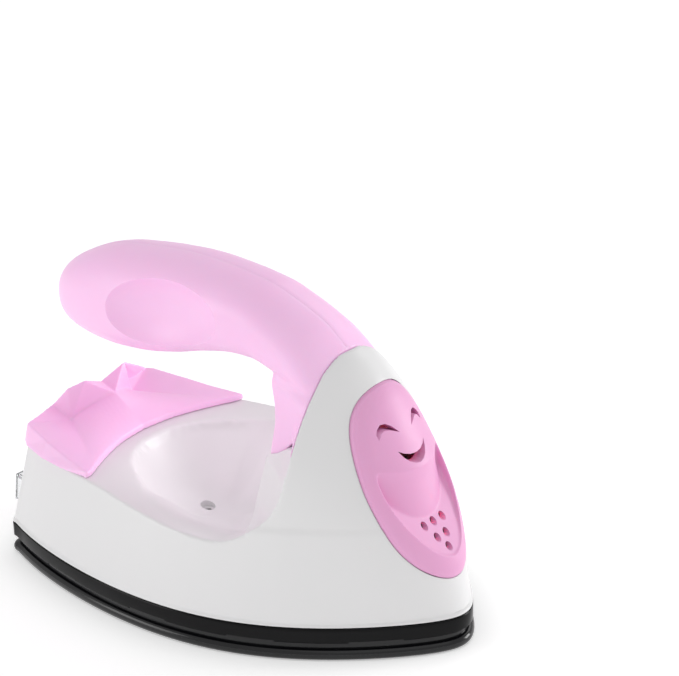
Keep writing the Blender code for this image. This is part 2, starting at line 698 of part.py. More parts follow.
def outer_half(y, z):
    """Half width of the outer side at any place."""
    if y >= ARCH_Y:
        return side_half(y, z)
    nose = smooth_table(NOSE_PROFILE, z)
    return arch_half(z) * shape_share((y - nose) / (ARCH_Y - nose), z)


def hull_ring(z, inset):
    """The shell's outline at a height; above the seam its rear only closes the ring."""
    points = front_points(z, inset)
    low = min(z, SEAM_Z)
    shrink = points[-1][0] / (hull_half(ARCH_Y, low) - inset)
    lean = (low - SKIRT_TOP) * HEEL_LEAN_SHARE
    for x, y in half_outline(inset)[:-1]:
        if y > ARCH_Y + OVERRUN:
            ratio = hull_half(min(y, HEEL_Y), low) / base_half_width(min(y, HEEL_Y))
            points.append((x * ratio * shrink, y - lean * (max(y, 0.0) / HEEL_Y) ** HEEL_LEAN_POWER))
    points.append((0.0, points[-1][1]))
    return mirrored_ring([(x, y, z) for x, y in points])


def hull_solid(name, inset, bottom):
    """The whole outer body at an inset, as high as it still has room."""
    room = max(inset, 0.0) * STEEP_SHARE + LEAST_ROOM
    levels = [z for z in SHELL_LEVELS if arch_half(z) > room and ARCH_Y - smooth_table(NOSE_PROFILE, z) > room]
    return loft(name, [hull_ring(z, inset) for z in [bottom] + levels])


def side_cutter(name, profile):
    """Cuts all inside a side-view outline, straight across the iron."""
    turn = Matrix(((0, 0, 1, 0), (1, 0, 0, 0), (0, 1, 0, 0), (0, 0, 0, 1)))
    return plate(name, profile, 2 * FAR, turn)


def saddle_solid(name):
    """Rear face of the nose column, from the ears inwards to the stem."""
    rings = []
    for z, corner_x, corner_y, ear_y in SADDLE_ROWS:
        half = [(0.0, SADDLE_FRONT)]
        for y in (SADDLE_FRONT, ARCH_Y, ear_y):
            half.append((outer_half(y, z) - SHELL_INSET - SADDLE_LIP, y))
        half += [(corner_x, corner_y), (0.0, corner_y)]
        rings.append(mirrored_ring([(x, y, z) for x, y in half]))
    return loft(name, rings, False)


def bowl_reach(share):
    """How far the dish goes from its centre, from the heel side (0) to the nose side (1)."""
    return smooth_table(BOWL_REACHES, share)


def bowl_place(angle, reach):
    return reach * math.sin(angle), BOWL_CENTRE_Y + reach * math.cos(angle)


def bowl_solid(name, grow, drop):
    """Everything above the dish, from its floor out to its rim, with a small riser at the heel side."""
    rings = [[] for _ in range(len(BOWL_SHARES) + 2)]
    rim = [(y, z) for y, z in RIM_PROFILE if z < FAR]
    for i in range(BOWL_POINTS):
        angle = 2 * math.pi * i / BOWL_POINTS
        turn = abs(math.atan2(math.sin(angle), math.cos(angle))) / math.pi
        reach = bowl_reach(turn)
        edge = min(table(rim, bowl_place(angle, reach)[1]), BOWL_LIP)
        lip = edge - BOWL_RISER * (1.0 - between(turn, *BOWL_RISER_FADE_SHARES))
        for ring, share in zip(rings, BOWL_SHARES):
            x, y = bowl_place(angle, reach * share + grow)
            ring.append((x, y, lerp(BOWL_FLOOR, lip, share**BOWL_POWER) - drop))
        for ring, spread, rise in zip(rings[-2:], (BOWL_EDGE, BOWL_RISER), (BOWL_EDGE, BOWL_ROOF)):
            x, y = bowl_place(angle, reach + spread + grow)
            ring.append((x, y, edge + rise - drop))
    return loft(name, rings)


def front_prism(name, sections, reach, grow=0.0):
    """A front-view outline, from (height, half width) rows, carried between two depths."""
    outline = []
    for z, x in sections:
        distance = math.hypot(x, z - PANEL_MIDDLE_Z)
        scale = (distance + grow) / distance
        outline.append((x * scale, PANEL_MIDDLE_Z + (z - PANEL_MIDDLE_Z) * scale))
    outline += [(-x, z) for x, z in reversed(outline) if x > 0.0]
    return front_plate(name, outline, reach)


def front_plate(name, outline, reach):
    front, back = reach
    turn = Matrix(((1, 0, 0, 0), (0, 0, -1, (front + back) / 2), (0, 1, 0, 0), (0, 0, 0, 1)))
    return plate(name, outline, back - front, turn)


# building blocks


def side_name(name, side):
    return f"{name}_{'right' if side > 0 else 'left'}"


def upright(x, y, z):
    return Matrix.Translation((x, y, z))


def facing_front(x, y, z):
    """Frame whose up axis points out of the nose, along -Y."""
    return Matrix.Translation((x, y, z)) @ Matrix.Rotation(math.pi / 2, 4, "X")


def facing_side(x, y, z, side):
    """Frame whose up axis points out to one side."""
    return Matrix.Translation((x, y, z)) @ Matrix.Rotation(side * math.pi / 2, 4, "Y")


def peg(name, radius, low, high, frame, segments=24):
    """A round rod between two heights of a frame."""
    place = frame @ Matrix.Translation((0.0, 0.0, (low + high) / 2))
    return tilted_rod(name, radius, high - low, place, segments)


def bore(bench, name, radius, low, high, frame, *bodies):
    cutter = bench.add(name, peg(name, radius, low, high, frame))
    for body in bodies:
        cut(body, cutter)


def screw(bench, name, frame, reach, shank_radius=SHANK_RADIUS):
    """A cross-head screw whose head sits just above its frame's floor and whose shank goes down by reach."""
    head = peg(name, HEAD_RADIUS, GAP, GAP + HEAD_HEIGHT, frame, SCREW_POINTS)
    body = bench.add(name, head, "steel")
    shank = peg(name + "_shank", shank_radius, -reach, GAP + SHANK_OVERLAP, frame, SHANK_POINTS)
    shank = bench.add(name + "_shank", shank)
    join(body, shank)
    arms = ((CROSS_LENGTH, CROSS_WIDTH, CROSS_DEPTH), (CROSS_WIDTH, CROSS_LENGTH, CROSS_SECOND_DEPTH))
    for i, (length, width, depth) in enumerate(arms):
        place = frame @ Matrix.Translation((0.0, 0.0, GAP + HEAD_HEIGHT))
        bm = bmesh.new()
        scale = Matrix.Diagonal((length, width, 2 * depth, 1.0))
        bmesh.ops.create_cube(bm, size=1.0, matrix=place @ scale)
        cut(body, bench.add(f"{name}_cross_{i}", mesh_from(f"{name}_cross_{i}", bm)))
    return body


# sole


def soleplate(bench):
    levels = []
    steps = HEEL_CORNER_STEPS
    for i in range(steps + 1):
        angle = math.pi * i / steps
        levels.append((SOLE_EDGE_DEPTH * (1 - math.sin(angle)), SOLE_THICKNESS * (1 - math.cos(angle)) / 2))
    levels.append((PLATFORM_INSET, SOLE_THICKNESS + PLATFORM_STEP))
    levels.append((PLATFORM_INSET, PLATFORM_TOP))
    plate_body = bench.add("soleplate", stack("soleplate", levels), "coated_black")
    posts = [(*DISH_PLACE, "dish"), (*HEEL_BOSS_PLACE, "right"), (-HEEL_BOSS_PLACE[0], HEEL_BOSS_PLACE[1], "left")]
    join(plate_body, bench.add("pad", rod("pad", PAD_RADIUS, POST_FOOT, PAD_TOP, *PAD_PLACE)))
    for x, y, name in posts:
        join(plate_body, bench.add(f"post_{name}", rod(f"post_{name}", POST_RADIUS, POST_FOOT, POST_TOP, x, y)))
        bore(bench, f"post_bore_{name}", BORE_RADIUS, BORE_FLOOR, POST_TOP + OVERRUN, upright(x, y, 0.0), plate_body)
    for i, y in enumerate(CLAMP_SCREW_YS):
        bore(bench, f"clamp_bore_{i}", CLAMP_SCREW_BORE, BORE_FLOOR, PAD_TOP + OVERRUN, upright(0.0, y, 0.0), plate_body)
    for side in (1, -1):
        place = upright(side * CUP_EAR_SCREW_X, PAD_PLACE[1], 0.0)
        name = side_name("cup_bore", side)
        bore(bench, name, CLAMP_SCREW_BORE, BORE_FLOOR, PAD_TOP + OVERRUN, place, plate_body)
    return plate_body


def sole_skirt(bench):
    levels = [
        (SKIRT_INSET + SKIRT_CHAMFER, SKIRT_BOTTOM),
        (SKIRT_INSET, SKIRT_BOTTOM + SKIRT_CHAMFER),
        (SKIRT_INSET, SKIRT_TOP - SKIRT_LIP),
        (SKIRT_INSET + SKIRT_LIP, SKIRT_TOP),
    ]
    skirt = bench.add("sole_skirt", stack("sole_skirt", levels), "gloss_black")
    hollow = [(SKIRT_WALL, SKIRT_BOTTOM - OVERRUN), (SKIRT_WALL, SKIRT_WEB_BOTTOM)]
    window = [(SKIRT_WINDOW_INSET, SKIRT_BOTTOM), (SKIRT_WINDOW_INSET, SKIRT_TOP + OVERRUN)]
    cut(skirt, bench.add("skirt_hollow", stack("skirt_hollow", hollow)))
    cut(skirt, bench.add("skirt_window", stack("skirt_window", window)))
    path = half_outline(SKIRT_INSET)
    lengths = [0.0]
    for a, b in zip(path, path[1:]):
        lengths.append(lengths[-1] + math.hypot(b[0] - a[0], b[1] - a[1]))

    def at(distance):
        for i in range(len(path) - 1):
            if lengths[i + 1] >= distance:
                share = (distance - lengths[i]) / (lengths[i + 1] - lengths[i])
                return Vector((lerp(path[i][0], path[i + 1][0], share), lerp(path[i][1], path[i + 1][1], share), 0.0))
        return Vector((*path[-1], 0.0))

    for side in (1, -1):
        for i in range(1, STEP_COUNT, 2):
            start = at(i * STEP_LENGTH)
            end = at((i + 1) * STEP_LENGTH)
            along = end - start
            middle = (start + end) / 2
            name = side_name(f"skirt_step_{i}", side)
            turn = Matrix.Translation((side * middle.x, middle.y, SKIRT_BOTTOM))
            turn = turn @ Matrix.Rotation(math.atan2(along.y, side * along.x), 4, "Z")
            bm = bmesh.new()
            size = (along.length, 2 * STEP_DEPTH, 2 * STEP_HEIGHT, 1.0)
            bmesh.ops.create_cube(bm, size=1.0, matrix=turn @ Matrix.Diagonal(size))
            cut(skirt, bench.add(name, mesh_from(name, bm)))
    return skirt


# shell


def body_shell(bench):
    shell = bench.add("body_shell", hull_solid("body_shell", SHELL_INSET, SHELL_BOTTOM), "shell_white")
    cut(shell, bench.add("rim_cutter", side_cutter("rim_cutter", RIM_PROFILE)))
    cut(shell, bench.add("bowl", bowl_solid("bowl", 0.0, 0.0)))
    join(shell, bench.add("saddle", saddle_solid("saddle")))
    hollow = bench.add("hollow", loft("hollow", [hull_ring(z, SHELL_INSET + SHELL_WALL) for z in HOLLOW_LEVELS]))
    cut(hollow, bench.add("hollow_roof", side_cutter("hollow_roof", HOLLOW_PROFILE)))
    cut(hollow, bench.add("under_bowl", bowl_solid("under_bowl", BOWL_GROWTH, DECK_THICKNESS)))
    cut(shell, hollow)
    add_bosses(bench, shell)
    return shell


def add_bosses(bench, shell):
    """Bosses for the dish screw and the two heel screws, with their seats and bores."""
    rows = [(*DISH_PLACE, DISH_BOSS_RADIUS, DISH_BOSS_TOP, DISH_SEAT_Z, DISH_HOLE_RADIUS, "dish")]
    for side in (1, -1):
        x, y = HEEL_BOSS_PLACE
        name = side_name("heel", side)
        rows.append((side * x, y, HEEL_BOSS_RADIUS, HEEL_BOSS_TOP, HEEL_SEAT_Z, HEEL_HOLE_RADIUS, name))
    for x, y, radius, top, seat, hole, name in rows:
        join(shell, bench.add(f"boss_{name}", rod(f"boss_{name}", radius, SHELL_BOTTOM, top, x, y)))
    for x, y, radius, top, seat, hole, name in rows:
        place = upright(x, y, 0.0)
        bore(bench, f"boss_well_{name}", hole, seat, SEAM_Z + OVERRUN, place, shell)
        bore(bench, f"boss_bore_{name}", BORE_RADIUS, SHELL_BOTTOM - OVERRUN, seat + OVERRUN / 2, place, shell)


def fit_handle(bench, shell):
    """Room in the shell for the handle's stem and tenon, with the two screws' seats."""
    stem = bench.add("stem_room", stem_solid("stem_room", GAP))
    cut(shell, stem)
    size = [length + POCKET_GROWTH for length in TENON_SIZE]
    cut(shell, bench.add("tenon_pocket", box("tenon_pocket", size, TENON_CENTRE)))
    x, z = TENON_SCREW_PLACE
    for side in (1, -1):
        frame = facing_front(side * x, TENON_SCREW_SEAT_Y, z)
        bore(bench, side_name("tenon_well", side), TENON_SCREW_WELL_RADIUS, 0.0, OVERRUN, frame, shell)
        bore(bench, side_name("tenon_bore", side), BORE_RADIUS, -OVERRUN, OVERRUN / 2, frame, shell)


# nose panel


def scoop_floor(x, z):
    """Depth of the scooped face: the tongue above and the sloping vent shelf below, whichever stands out more."""
    tongue = smooth_table(TONGUE_PROFILE, z) + x * x / SCOOP_BEND
    shelf = SHELF_START[0] + SHELF_SLOPE * (z - SHELF_START[1])
    return min(tongue, shelf)


def scoop_solid(name, front_y, side_grow, back_shift):
    """Everything in front of the scooped face, inside its edge."""
    rings = []
    for z in SCOOP_LEVELS:
        half = smooth_table(SCOOP_EDGE, z) + side_grow
        rear = []
        for i in range(SCOOP_POINTS):
            x = half * (2 * i / (SCOOP_POINTS - 1) - 1)
            rear.append((x, scoop_floor(x, z) + back_shift, z))
        rings.append([(half, front_y, z), (-half, front_y, z)] + rear)
    return loft(name, rings)


def nose_panel(bench):
    panel = bench.add("nose_panel", front_prism("nose_panel", PANEL_SECTIONS, PANEL_REACH), "panel_pink")
    outside = bench.add("panel_outside", hull_solid("panel_outside", SHELL_INSET - PANEL_PROUD, SHELL_BOTTOM - OVERRUN))
    inside = bench.add("panel_inside", hull_solid("panel_inside", SHELL_INSET + PANEL_DEPTH, SHELL_BOTTOM - OVERRUN))
    bump = bench.add("panel_bump", scoop_solid("panel_bump", -FAR, BUMP_SIDE, BUMP_THICKNESS))
    cut(inside, bump)
    boolean(panel, outside, "INTERSECT")
    cut(panel, inside)
    cut(panel, bench.add("panel_scoop", scoop_solid("panel_scoop", -FAR - OVERRUN, 0.0, 0.0)))
    for side in (1, -1):
        name = side_name("eye_slot", side)
        points = [(side * x, z) for x, z in EYE_POINTS]
        cut(panel, bench.add(name, front_plate(name, points, SLOT_REACH)))
    cut(panel, bench.add("mouth_slot", front_plate("mouth_slot", MOUTH_POINTS, SLOT_REACH)))
    for i, (x, z) in enumerate(VENT_PLACES):
        bore(bench, f"vent_{i}", VENT_RADIUS, -SLOT_REACH[1], -SLOT_REACH[0], facing_front(x, 0.0, z), panel)
    return panel


def peg_frame(z):
    """Frame of a panel peg: its floor lies on the seat, its up axis points into the shell."""
    seat = smooth_table(NOSE_PROFILE, z) + nose_offset(z, SHELL_INSET + PANEL_DEPTH)
    return Matrix.Translation((0.0, seat, z)) @ Matrix.Rotation(-math.pi / 2, 4, "X")


def seat_panel(bench, shell, panel):
    seat = bench.add("panel_seat", front_prism("panel_seat", PANEL_SECTIONS, PANEL_REACH, GAP))
    inset = SHELL_INSET + PANEL_DEPTH + GAP
    cut(seat, bench.add("seat_floor", hull_solid("seat_floor", inset, SHELL_BOTTOM - OVERRUN)))
    cut(shell, seat)
    cut(shell, bench.add("panel_opening", front_prism("panel_opening", OPENING_SECTIONS, OPENING_REACH)))
    for i, (_, z) in enumerate(PEG_PLACES):
        frame = peg_frame(z)
        join(panel, bench.add(f"panel_peg_{i}", peg(f"panel_peg_{i}", PEG_RADIUS, -PANEL_DEPTH, PEG_DEPTH, frame)))
        bore(bench, f"panel_peg_hole_{i}", PEG_RADIUS + GAP, -OVERRUN, PEG_DEPTH + 2 * GAP, frame, shell)


# heel cover


def heel_cover(bench, shell):
    bm = bmesh.new()
    count = len(COVER_BOTTOM_POINTS)

    def both(points):
        right = [bm.verts.new(p) for p in points]
        left = [v if abs(v.co.x) < WELD else bm.verts.new((-v.co.x, v.co.y, v.co.z)) for v in right]
        return right, left

    bottoms = both([(x, y, COVER_FLOOR) for x, y in COVER_BOTTOM_POINTS])
    sides = zip(bottoms, both(COVER_EDGE_POINTS), both(COVER_CREASE_POINTS), both(COVER_RIDGE_POINTS))
    for low, rim, crease, top in sides:
        faces = [(low[i], low[i + 1], rim[i + 1], rim[i]) for i in range(count - 2)]
        faces.append((low[-2], low[-1], top[2], top[1], top[0], rim[-1], rim[-2]))
        faces += [(rim[0], rim[1], crease[3]), (rim[1], rim[2], crease[3]), (rim[2], crease[2], crease[3])]
        faces += [(rim[2], crease[1], crease[2]), (rim[2], rim[3], crease[1]), (rim[3], crease[0], crease[1])]
        faces += [(rim[3], rim[4], crease[0]), (rim[4], rim[5], crease[0]), (rim[5], rim[6], crease[0])]
        faces.append((rim[6], rim[7], crease[1], crease[0]))
        faces.append((rim[7], rim[8], rim[10], crease[2], crease[1]))
        faces.append((rim[8], rim[9], rim[10]))
        faces.append((rim[10], top[0], crease[2]))
        faces.append((top[0], top[1], crease[2]))
        faces.append((top[1], top[2], crease[3], crease[2]))
        for face in faces:
            bm.faces.new(face)
    bm.faces.new(bottoms[0] + list(reversed(bottoms[1][1:-1])))
    bmesh.ops.triangulate(bm, faces=bm.faces)
    cover = bench.add("heel_cover", mesh_from("heel_cover", bm), "handle_pink")
    x, y = COVER_PEG_PLACE
    for side in (1, -1):
        name = side_name("cover_peg", side)
        place = upright(side * x, y, 0.0)
        join(cover, bench.add(name, peg(name, COVER_PEG_RADIUS, COVER_PEG_LOW, COVER_PEG_HIGH, place)))
        hole = side_name("cover_peg_hole", side)
        bore(bench, hole, COVER_PEG_RADIUS + GAP, COVER_PEG_LOW - OVERRUN, SEAM_Z, place, shell)
    return cover


# handle


def handle_ring(y, centre, half, rise):
    power = 2.0 / lerp(HANDLE_SQUARE_FRONT_SHARE, HANDLE_SQUARE_BACK_SHARE, between(y, *HANDLE_SQUARE_SPAN))
    ring = []
    for i in range(HANDLE_POINTS):
        angle = 2 * math.pi * (i + 0.5) / HANDLE_POINTS
        c, s = math.cos(angle), math.sin(angle)
        ring.append((half * math.copysign(abs(c) ** power, c), y, centre + rise * math.copysign(abs(s) ** power, s)))
    return ring


def handle_rings():
    columns = [[(row[0], row[k]) for row in HANDLE_SECTIONS] for k in (1, 2, 3)]
    rings = []
    for row, after in zip(HANDLE_SECTIONS, HANDLE_SECTIONS[1:]):
        rings.append(handle_ring(*row))
        if row[0] - after[0] > HANDLE_LONGEST:
            y = (row[0] + after[0]) / 2
            rings.append(handle_ring(y, *(smooth_table(column, y) for column in columns)))
    rings.append(handle_ring(*HANDLE_SECTIONS[-1]))
    return rings


def stem_solid(name, grow):
    rings = []
    for z, half, rear, front in STEM_ROWS:
        half, rear = half + grow, rear + grow
        flare = half + (rear - front - STEM_CORNER) * STEM_FLARE_SHARE
        flare = min(flare, smooth_table(ARCH_WIDTHS, z) - FLARE_INSET + grow)
        level = z - grow if z == STEM_ROWS[0][0] else z
        side = [(half, rear - STEM_CORNER), (flare, front)]
        ring = [(0.0, rear + STEM_BACK_BULGE), (half - STEM_CORNER, rear)] + side + [(0.0, front)]
        rings.append(mirrored_ring([(x, y, level) for x, y in ring]))
    return loft(name, rings)


def flare_solid(name):
    """The handle's spread from the stem out to the shell's arch."""
    rows = [(smooth_table(ARCH_WIDTHS, z) - FLARE_INSET, z) for z in (FLARE_LOW,) + FLARE_LEVELS]
    low, high = rows[0][1], rows[-1][1]
    rings = []
    for i in range(FLARE_STEPS + 1):
        share = i / FLARE_STEPS
        spread = share**FLARE_POWER
        y = lerp(FLARE_BACK_Y, FLARE_FRONT_Y, share)
        half = []
        for x, z in rows:
            up = (z - low) / (high - low)
            neck = FLARE_NECK * math.sqrt(1.0 - (up * FLARE_NECK_TOP_SHARE) ** 2)
            half.append((lerp(neck, x, spread), y, z + FLARE_NECK_RISE * up * (1.0 - share)))
        ring = [(0.0, y, low)] + half + [(0.0, y, half[-1][2] + FLARE_CREST * (1.0 - spread) + FLARE_TIP)]
        rings.append(mirrored_ring(ring))
    return loft(name, rings)


def handle_halves(bench):
    """The handle, parted down its middle into a left and a right half."""
    whole = bench.add("handle_whole", loft("handle_whole", handle_rings()))
    join(whole, bench.add("stem", stem_solid("stem", 0.0)))
    join(whole, bench.add("flare", flare_solid("flare")))
    join(whole, bench.add("tenon", box("tenon", TENON_SIZE, TENON_CENTRE)))
    for side in (1, -1):
        name = side_name("scallop", side)
        x, y, z = SCALLOP_CENTRE
        matrix = Matrix.Translation((side * x, y, z)) @ Matrix.Rotation(SCALLOP_TILT, 4, "X")
        cut(whole, bench.add(name, ball(name, SCALLOP_RADII, matrix)))
    x, z = TENON_SCREW_PLACE
    for side in (1, -1):
        frame = facing_front(side * x, TENON_SCREW_SEAT_Y, z)
        bore(bench, side_name("tenon_thread", side), BORE_RADIUS, -TENON_SCREW_REACH - 2 * GAP, 0.0, frame, whole)
    for i, (y, z) in enumerate(JOINT_SCREW_PLACES):
        frame = facing_side(JOINT_SEAT_X, y, z, 1)
        bore(bench, f"joint_well_{i}", DISH_HOLE_RADIUS, 0.0, FAR / 2, frame, whole)
        bore(bench, f"joint_bore_{i}", BORE_RADIUS, JOINT_TIP_X - JOINT_SEAT_X, OVERRUN / 2, frame, whole)
    halves = []
    for side in (1, -1):
        name = side_name("handle", side)
        centre = (side * (HALF_BOX_SIZE[0] + GAP) / 2, HALF_BOX_Y, HALF_BOX_Z)
        half = bench.add(name, box(name, HALF_BOX_SIZE, centre), "handle_pink")
        boolean(half, whole, "INTERSECT")
        halves.append(half)
    return halves


# heel


def heel_frame(x, z):
    """Frame on the sloping heel wall whose up axis points out of it."""
    y = HEEL_Y - SHELL_INSET - (z - SKIRT_TOP) * HEEL_LEAN_SHARE
    return Matrix.Translation((x, y, z)) @ Matrix.Rotation(-math.pi / 2 - math.atan(-HEEL_LEAN_SHARE), 4, "X")


def heel_feet(bench, shell):
    for side in (1, -1):
        name = side_name("heel_foot", side)
        frame = heel_frame(side * FOOT_PLACE[0], FOOT_PLACE[1])
        outline = [(-side * x, y) for x, y in FOOT_OUTLINE]
        place = frame @ Matrix.Translation((0.0, 0.0, GAP + FOOT_LENGTH / 2))
        foot = bench.add(name, plate(name, outline, FOOT_LENGTH, place), "clear")
        base = bmesh.new()
        size = Matrix.Diagonal((FOOT_BASE_SIZE[0], FOOT_BASE_SIZE[2], FOOT_BASE_SIZE[1], 1.0))
        lift = Matrix.Translation((0.0, 0.0, GAP + FOOT_BASE_SIZE[1] / 2))
        bmesh.ops.create_cube(base, size=1.0, matrix=frame @ lift @ size)
        join(foot, bench.add(name + "_base", mesh_from(name + "_base", base)))
        reach = FOOT_BASE_SIZE[1] / 2
        join(foot, bench.add(name + "_peg", peg(name + "_peg", FOOT_PEG_RADIUS, -FOOT_PEG_DEPTH, reach, frame)))
        bore(bench, name + "_hole", FOOT_PEG_RADIUS + GAP, -2 * OVERRUN, OVERRUN, frame, shell)


def power_inlet(bench, shell):
    width, depth, height = INLET_SIZE
    centre = (0.0, INLET_BACK_Y - depth / 2, SHELL_BOTTOM + height / 2)
    block = bench.add("inlet_block", box("inlet_block", INLET_SIZE, centre), "phenolic")
    port = (0.0, HEEL_Y, INLET_PORT_Z)
    cut(shell, bench.add("inlet_port", box("inlet_port", INLET_PORT_SIZE, port)))
    for side in (1, -1):
        frame = Matrix.Translation((side * INLET_PIN_X, 0.0, INLET_PORT_Z)) @ Matrix.Rotation(-math.pi / 2, 4, "X")
        name = side_name("inlet_pin", side)
        bench.add(name, peg(name, INLET_PIN_RADIUS, *INLET_PIN_REACH, frame, 16), "brass")
        bore(bench, side_name("inlet_bore", side), INLET_PIN_RADIUS + GAP, 0.0, FAR, frame, block)
    return block


# heater


def layer(name, inset, front, rear, low, high, slot=None):
    """A flat plate that follows the sole's outline between two lengthwise places."""
    half = [(0.0, front)]
    for i in range(LAYER_ROWS + 1):
        y = lerp(front, rear, i / LAYER_ROWS)
        half.append((base_half_width(y) - inset, y))
    if slot:
        half += [(slot[0], rear), (slot[0], slot[1]), (0.0, slot[1])]
    else:
        half.append((0.0, rear))
    return loft(name, [mirrored_ring([(x, y, z) for x, y in half]) for z in (low, high)], False)


def heater(bench):
    mica = bench.add("mica_sheet", layer("mica_sheet", *MICA), "mica")
    bench.add("heating_element", layer("heating_element", *ELEMENT, ELEMENT_SLOT), "steel")
    clamp = bench.add("element_clamp", layer("element_clamp", *CLAMP), "aluminium")
    place = upright(*DISH_PLACE, 0.0)
    bore(bench, "post_passage", POST_RADIUS + POST_CLEARANCE, 0.0, POST_TOP, place, mica, clamp)
    for i, y in enumerate(CLAMP_SCREW_YS):
        bore(bench, f"clamp_passage_{i}", CLAMP_SCREW_BORE, 0.0, POST_TOP, upright(0.0, y, 0.0), mica, clamp)
    top = CLAMP[4]
    names = ("clamp_screw_front", "clamp_screw_rear")
    lifts = (0.0, FUSE_CLIP_THICKNESS + GAP)
    for name, y, lift in zip(names, CLAMP_SCREW_YS, lifts):
        screw(bench, name, upright(0.0, y, top + lift), top + lift - SMALL_SCREW_TIP, SMALL_SHANK_RADIUS)
    return mica, clamp


def fuse_and_clip(bench):
    frame = facing_side(0.0, FUSE_Y, FUSE_Z, 1)
    bench.add("thermal_fuse", peg("thermal_fuse", FUSE_RADIUS, -FUSE_LENGTH / 2, FUSE_LENGTH / 2, frame), "steel")
    floor = CLAMP[4] + GAP
    inner = FUSE_RADIUS + GAP
    outer = inner + FUSE_CLIP_THICKNESS
    top = floor + FUSE_CLIP_THICKNESS
    front, rear = FUSE_CLIP_FEET
    outline = [(FUSE_Y + inner, floor), (rear, floor), (rear, top), (FUSE_Y + outer, top)]
    steps = FUSE_CLIP_STEPS
    for i in range(steps + 1):
        angle = math.pi * i / steps
        outline.append((FUSE_Y + outer * math.cos(angle), FUSE_Z + outer * math.sin(angle)))
    outline += [(FUSE_Y - outer, floor), (FUSE_Y - inner, floor)]
    for i in range(steps + 1):
        angle = math.pi * (steps - i) / steps
        outline.append((FUSE_Y + inner * math.cos(angle), FUSE_Z + inner * math.sin(angle)))
    turn = Matrix(((0, 0, 1, 0), (1, 0, 0, 0), (0, 1, 0, 0), (0, 0, 0, 1)))
    clip = bench.add("fuse_clip", plate("fuse_clip", outline, FUSE_CLIP_WIDTH, turn), "steel")
    bore(bench, "clip_passage", CLAMP_SCREW_BORE, 0.0, POST_TOP, upright(0.0, CLAMP_SCREW_YS[1], 0.0), clip)


def thermostat(bench):
    x, y = PAD_PLACE
    place = upright(x, y, 0.0)
    cup = bench.add("thermostat_cup", peg("thermostat_cup", CUP_RADIUS, CUP_BOTTOM, CUP_TOP, place, 32), "aluminium")
    ear_z = CUP_BOTTOM + CUP_EAR_SIZE[2] / 2
    join(cup, bench.add("cup_ears", box("cup_ears", CUP_EAR_SIZE, (x, y, ear_z))))
    floor = CUP_BOTTOM + CUP_WALL
    bore(bench, "cup_room", CUP_RADIUS - CUP_WALL, floor, CUP_TOP + OVERRUN, place, cup)
    for side in (1, -1):
        ear = upright(side * CUP_EAR_SCREW_X, y, CUP_BOTTOM + CUP_EAR_SIZE[2])
        bore(bench, side_name("ear_passage", side), CLAMP_SCREW_BORE, -OVERRUN, OVERRUN, ear, cup)
        reach = CUP_BOTTOM + CUP_EAR_SIZE[2] - SMALL_SCREW_TIP
        screw(bench, side_name("thermostat_screw", side), ear, reach, SMALL_SHANK_RADIUS)
    disc_low = floor + GAP
    disc_high = disc_low + DISC_THICKNESS
    bench.add("bimetal_disc", peg("bimetal_disc", DISC_RADIUS, disc_low, disc_high, place, 32), "bimetal")
    low = CUP_TOP + GAP
    body = bench.add("thermostat_body", peg("thermostat_body", CUP_RADIUS, low, THERMOSTAT_TOP, place, 32), "phenolic")
    bore(bench, "pin_hole", PIN_HOLE_RADIUS, 0.0, FAR, place, body)
    pin = bench.add("thermostat_pin", peg("thermostat_pin", PIN_RADIUS, 0.0, PIN_TOP - disc_high - GAP, Matrix(), 20), "ceramic")
    pin.location = (x, y, disc_high + GAP)
    for side in (1, -1):
        centre = (x + side * TERMINAL_X, y, THERMOSTAT_TOP + GAP + TERMINAL_SIZE[2] / 2)
        name = side_name("thermostat_terminal", side)
        bench.add(name, box(name, TERMINAL_SIZE, centre), "brass")
    rise = THERMOSTAT_TOP + GAP + TERMINAL_SIZE[2] + GAP + ARM_SIZE[2] / 2
    bench.add("contact_arm", box("contact_arm", ARM_SIZE, (x, y, rise)), "brass")


def light(bench, shell):
    board = bench.add("light_board", box("light_board", BOARD_SIZE, BOARD_CENTRE), "board_green")
    back = BOARD_CENTRE[1] + BOARD_SIZE[1] / 2
    front = BOARD_CENTRE[1] - BOARD_SIZE[1] / 2
    x, z = BOARD_BOSS_PLACE
    for side in (1, -1):
        frame = facing_front(side * x, 0.0, z)
        boss = side_name("board_boss", side)
        join(shell, bench.add(boss, peg(boss, BOARD_BOSS_RADIUS, -BOARD_BOSS_BACK, -back - GAP, frame)))
        hole = side_name("board_bore", side)
        reach = BOARD_SIZE[1] + OVERRUN
        bore(bench, hole, CLAMP_SCREW_BORE, -front - reach - 2 * GAP, -front + OVERRUN, frame, shell, board)
        seat = facing_front(side * x, front, z)
        screw(bench, side_name("board_screw", side), seat, reach, SMALL_SHANK_RADIUS)
    seat = facing_front(0.0, front, LAMP_Z)
    lamp = bench.add("lamp", peg("lamp", LAMP_RADIUS, GAP, GAP + LAMP_LENGTH - LAMP_RADIUS, seat, 20), "lamp_red")
    dome = seat @ Matrix.Translation((0.0, 0.0, GAP + LAMP_LENGTH - LAMP_RADIUS))
    radii = (LAMP_RADIUS * DOME_SHARE, LAMP_RADIUS * DOME_SHARE, LAMP_RADIUS)
    join(lamp, bench.add("lamp_dome", ball("lamp_dome", radii, dome, 20, 12)))


def wires(bench):
    for name, path in WIRE_PATHS.items():
        bench.add(name, wire(name, path, WIRE_RADIUS), WIRE_LOOKS[name])


